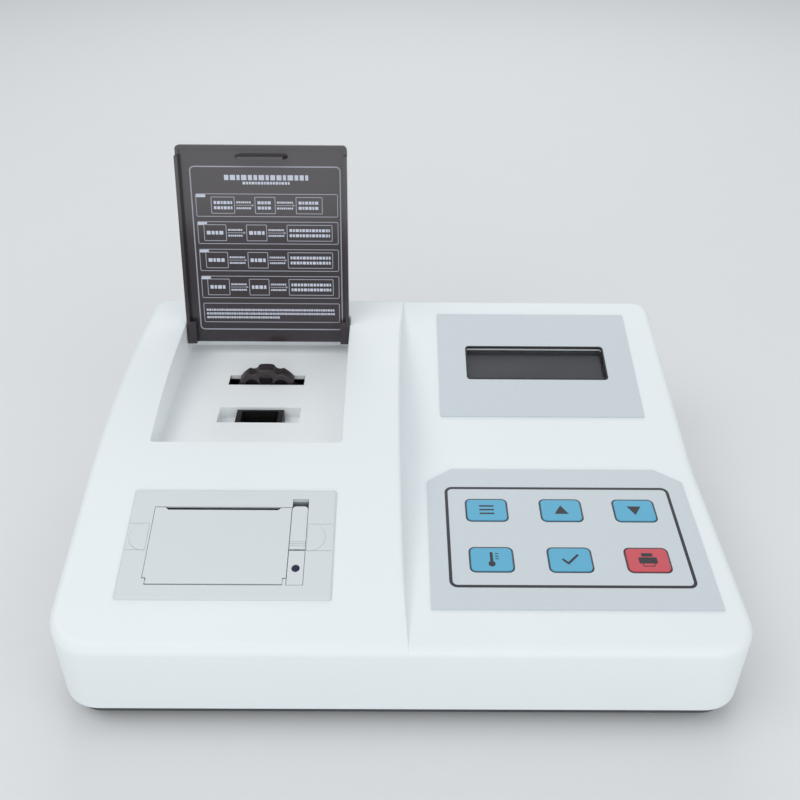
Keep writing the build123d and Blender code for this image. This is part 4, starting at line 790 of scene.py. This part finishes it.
def wellCutter():
    # carried round the well: straight walls, then a quarter-round lip that opens onto the deck:
    # outwards = lip (1 - cos turn), height = deck + lip (sin turn - 1)
    v = openings
    lip = v["lip"]
    turn = np.linspace(0, np.pi / 2, shellSteps["lip"])
    spread = np.concatenate([[0], lip * (1 - np.cos(turn)), [lip, lip]])
    path = roundedPath(*v["well"], v["wellCorner"], shellSteps["wellCorner"])
    base = np.vstack([np.linspace(start, end, shellSteps["wellSide"], endpoint=False)
                      for start, end in zip(np.roll(path, 1, 0), path)])
    ahead = np.roll(base, -1, 0) - np.roll(base, 1, 0)
    ahead /= np.linalg.norm(ahead, axis=1)[:, None]
    out = np.stack([ahead[:, 1], -ahead[:, 0]], -1)
    deck = leftDeck(base[:, 1])
    rise = np.concatenate([[0], lip * np.sin(turn) - lip, [lip, v["aboveWell"]]])
    rings = []
    for number, (wide, up) in enumerate(zip(spread, rise)):
        height = np.full(len(base), v["wellFloor"]) if number == 0 else deck + up
        rings.append(np.column_stack([base + out * wide, height]))
    points = np.stack(rings)
    count, around = points.shape[:2]
    index = np.arange(count * around).reshape(count, around)
    after = np.roll(index, -1, 1)
    wall = np.stack([index[:-1], after[:-1], after[1:], index[1:]], -1).reshape(-1, 4)
    ends = np.vstack([points[0].mean(0), points[-1].mean(0)])
    low, high = np.full(around, count * around), np.full(around, count * around + 1)
    bottom = np.stack([low, after[0], index[0], low], -1)
    top = np.stack([high, index[-1], after[-1], high], -1)
    return inScene(np.vstack([points.reshape(-1, 3), ends])), np.vstack([wall, bottom, top])


def planeSolid(plane, outline, low, high):
    # outline in a plane, from low to high along the plane's third axis
    points, faces = patchSolid(outline, low, high)
    return placeOn(plane, points), faces


def slopedPlane(slope, y, z):
    # plane along a deck's straight run, from a point that the run goes through
    slope = math.radians(slope)
    height = z - y * math.tan(slope)
    return planeFrame((0, caseMiddleY, height / 1000), (1, 0, 0), (0, math.cos(slope), math.sin(slope)))


def rearFacing(y):
    # upright plane across the housing that looks to the rear
    return planeFrame((0, caseMiddleY + y / 1000, 0), (-1, 0, 0), (0, 0, 1))


def openingSolids():
    # wheel slot, holder's recess, display window, printer hole, keys, rear ports, hinge holes and catches
    v, case = openings, shellShape
    displayPlane = slopedPlane(case["rightSlopes"][1], case["halfDepth"], case["rearTop"])
    printerPlane = slopedPlane(case["leftSlopes"][0], -case["halfDepth"], case["frontTop"])
    rearPlane = rearFacing(case["halfDepth"])
    floorTop = v["wellFloor"] + v["above"]
    solids = [uprightSolid(v["slot"], v["wellFloor"] - v["below"], floorTop),
              uprightSolid(v["grip"], v["gripFloor"], floorTop),
              planeSolid(displayPlane, roundedPath(*v["window"], v["windowRadius"]), *v["through"]),
              planeSolid(printerPlane, roundedPath(*v["printerHole"], v["printerRadius"]),
                         *v["printerThrough"])]
    for y in padPrint["keyRows"]:
        for x in padPrint["keyColumns"]:
            path = roundedPath(*aroundKey(x, y, v["keyGap"]), padPrint["keyRadius"])
            solids.append(planeSolid(padPlane(), path, *v["through"]))
    for x0, x1, z0, z1 in v["rearPorts"]:
        solids.append(planeSolid(rearPlane, roundedPath(-x1, -x0, z0, z1, v["portRadius"]), *v["through"]))
    x, z, radius = v["jack"]
    solids.append(planeSolid(rearPlane, discPath(-x, z, radius), *v["through"]))
    y, z, radius = v["hinge"]
    intoWall, intoWell = v["hingeDepths"]
    left, right = v["well"][:2]
    hingePlane = planeFrame((0, caseMiddleY, 0), (0, 1, 0), (0, 0, 1))
    for x0, x1 in ((left - intoWall, left + intoWell), (right - intoWell, right + intoWall)):
        solids.append(planeSolid(hingePlane, discPath(y, z, radius), x0, x1))
    wellFront = v["well"][2]
    catchZ = float(leftDeck(np.array(wellFront))) - v["catchDrop"]
    for x in v["catches"]:
        path = discPath(-x, catchZ, v["catchRadius"], shellSteps["catch"])
        solids.append(planeSolid(rearFacing(wellFront), path, *v["catchDepths"]))
    return solids


def applyModifiers(piece):
    # puts the modifiers' result in the piece's own mesh
    bpy.context.view_layer.update()
    finished = bpy.data.meshes.new_from_object(piece.evaluated_get(bpy.context.evaluated_depsgraph_get()))
    piece.modifiers.clear()
    piece.data = finished


def combine(piece, operation, solids, name):
    # joins solids to the piece, or cuts them out of it, for good
    other = meshObject(name, solids)
    change = piece.modifiers.new(name, "BOOLEAN")
    change.operation = operation
    change.solver = "EXACT"
    change.object = other
    applyModifiers(piece)
    bpy.data.objects.remove(other)


def paintShell(mesh):
    # mould finish outside; a paler copy of it in the well, which is painted light; the wheel's dark finish
    # on the slot's walls, which is painted shade
    v = zones
    for material in (finishes["shell_plastic"], wellPaintedLight, finishes["wheel_plastic"]):
        mesh.materials.append(material)
    centres = np.empty(len(mesh.polygons) * 3)
    mesh.polygons.foreach_get("center", centres)
    x, y, z = ((centres.reshape(-1, 3) - (0, caseMiddleY, 0)) * 1000).T
    # faces in the well get the paler copy of the shell plastic, which is painted light
    x0, x1, y0, y1 = grown(openings["well"], v["wellMargin"])
    top = leftDeck(y) - v["belowDeck"]
    inWellPaintedLight = (x > x0) & (x < x1) & (y > y0) & (y < y1) & (z > v["lowest"]) & (z < top)
    # painted shade: the slot's walls down through the floor get the wheel's dark finish instead of the
    # housing's own white plastic
    x0, x1, y0, y1 = grown(openings["slot"], v["slotMargin"])
    top = openings["wellFloor"] - v["belowFloor"]
    inSlotPaintedShade = (x > x0) & (x < x1) & (y > y0) & (y < y1) & (z > v["lowest"]) & (z < top)
    mesh.polygons.foreach_set("material_index", np.where(inSlotPaintedShade, 2, inWellPaintedLight.astype(int)).astype(np.int32))


def buildShell():
    # skin, inner wall, tub and recess under the deck, then every opening cut through them
    v, wide = openings, shellShape["wall"]
    points, quads = shellSkin()
    skin = meshObject("housingTop", [(inScene(points), quads)])
    wall = skin.modifiers.new("wall", "SOLIDIFY")
    wall.thickness = wide / 1000
    wall.offset = -1
    applyModifiers(skin)
    tub = underDeckBlock(grown(v["well"], wide), v["wellFloor"] - wide, v["tubBelowDeck"])
    grip = uprightSolid(grown(v["grip"], wide), v["gripFloor"] - wide, v["wellFloor"] - v["above"])
    holder = uprightSolid(v["holderHole"], v["gripFloor"] - v["below"], v["gripFloor"] + v["above"])
    combine(skin, "UNION", [tub], "tubBlock")
    combine(skin, "UNION", [grip], "gripBlock")
    combine(skin, "DIFFERENCE", [wellCutter()], "wellCut")
    combine(skin, "DIFFERENCE", openingSolids(), "openings")
    combine(skin, "DIFFERENCE", [holder], "holderCut")
    mesh = skin.data
    mesh.materials.clear()
    paintShell(mesh)
    mesh.shade_smooth()
    mesh.set_sharp_from_angle(angle=math.radians(shellShape["sharpAngle"]))
    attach(skin, "case")
    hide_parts("upper_shell", "sample_well")
    print("housing ready, faces:", len(mesh.polygons))


buildShell()


# Stage, light and camera

stageValues = {  # metres
    "floorColour": (0.74, 0.75, 0.76), "floorSize": 8.0, "floorSteps": (40, 80), "floorBend": 1.6,
    "bendRise": 0.35,
    "skyColour": (0.95, 0.98, 1.0), "skyStrength": 0.6, "aim": (0, 0, 0.05)}
lightValues = {  # place and size in metres, watts, colour
    "keySoft": ((-0.9, -0.5, 1.5), (1.4, 1.0), 8, (1, 0.985, 0.96)),
    "fillSoft": ((1.2, -0.9, 1.1), (1.2, 1.2), 4, (0.95, 0.98, 1)),
    "backSoft": ((0.1, 1.4, 1.2), (1.6, 0.8), 7, (1, 1, 1)),
    "frontSoft": ((0.1, -1.7, 0.55), (1.8, 0.7), 6.5, (0.97, 0.99, 1))}


def buildFloor():
    # flat square that curves up softly behind: height = rise times (distance past the bend) squared
    v = stageValues
    half = v["floorSize"] / 2
    across, along = (np.linspace(-half, half, steps) for steps in v["floorSteps"])
    x, y = np.meshgrid(across, along)
    z = v["bendRise"] * np.clip(y - v["floorBend"], 0, None) ** 2
    index = np.arange(x.size).reshape(x.shape)
    floor = meshObject("floor", [(np.stack([x, y, z], -1).reshape(-1, 3), gridQuads(index))])
    floor.data.materials.append(newFinish("floorPaper", mouldedGroup, {
        "Colour": (*v["floorColour"], 1), "Grain Size": 1.2, "Grain Share": 0.01, "Drift": 0.01,
        "Roughness": 0.75, "Scuff": 0.0}, None, 0.02))
    floor.data.shade_smooth()


def addLight(name, place, size, power, colour):
    # a soft rectangular lamp that looks at the common aim
    light = bpy.data.lights.new(name, "AREA")
    light.shape = "RECTANGLE"
    light.size, light.size_y = size
    light.energy = power
    light.color = colour
    lamp = bpy.data.objects.new(name, light)
    bpy.context.scene.collection.objects.link(lamp)
    lamp.location = place
    lamp.rotation_euler = (Vector(stageValues["aim"]) - Vector(place)).to_track_quat("-Z", "Y").to_euler()


def buildSky():
    # an even, slightly cool sky all round
    world = bpy.data.worlds.new("studio")
    bpy.context.scene.world = world
    world.use_nodes = True
    background = world.node_tree.nodes["Background"]
    background.inputs["Color"].default_value = (*stageValues["skyColour"], 1)
    background.inputs["Strength"].default_value = stageValues["skyStrength"]


cameraValues = {  # millimetres and degrees, from one perspective fit of the photograph
    "place": (-4.07, -437.5, 423.3), "down": 34.095, "turn": 0.315, "roll": 0.489,
    "focalPixels": 923.4, "middle": (400.0, 380.03), "pixels": 800, "sensor": 36.0, "nearest": 20.0}


def buildCamera():
    # looks down and sideways from its place, then turns about its own line of sight
    v = cameraValues
    down, turn, roll = (math.radians(v[key]) for key in ("down", "turn", "roll"))
    forward = Vector((math.sin(turn) * math.cos(down), math.cos(turn) * math.cos(down), -math.sin(down)))
    right = Vector((math.cos(turn), -math.sin(turn), 0))
    up = right.cross(forward)
    rightRolled = right * math.cos(roll) + up * math.sin(roll)
    upRolled = up * math.cos(roll) - right * math.sin(roll)
    camera = bpy.data.cameras.new("camera")
    camera.sensor_width = v["sensor"]
    camera.lens = v["focalPixels"] / v["pixels"] * v["sensor"]
    camera.shift_x = (v["pixels"] / 2 - v["middle"][0]) / v["pixels"]
    camera.shift_y = (v["middle"][1] - v["pixels"] / 2) / v["pixels"]
    camera.clip_start = v["nearest"] / 1000
    rig = bpy.data.objects.new("camera", camera)
    bpy.context.scene.collection.objects.link(rig)
    turnMatrix = Matrix((rightRolled, upRolled, -forward)).transposed().to_4x4()
    place = Vector((v["place"][0] / 1000, v["place"][1] / 1000 + caseMiddleY, v["place"][2] / 1000))
    rig.matrix_world = Matrix.Translation(place) @ turnMatrix
    bpy.context.scene.camera = rig


buildFloor()
buildSky()
for lightName, values in lightValues.items():
    addLight(lightName, *values)
buildCamera()
bpy.context.scene.view_settings.view_transform = "Standard"
print("stage ready")
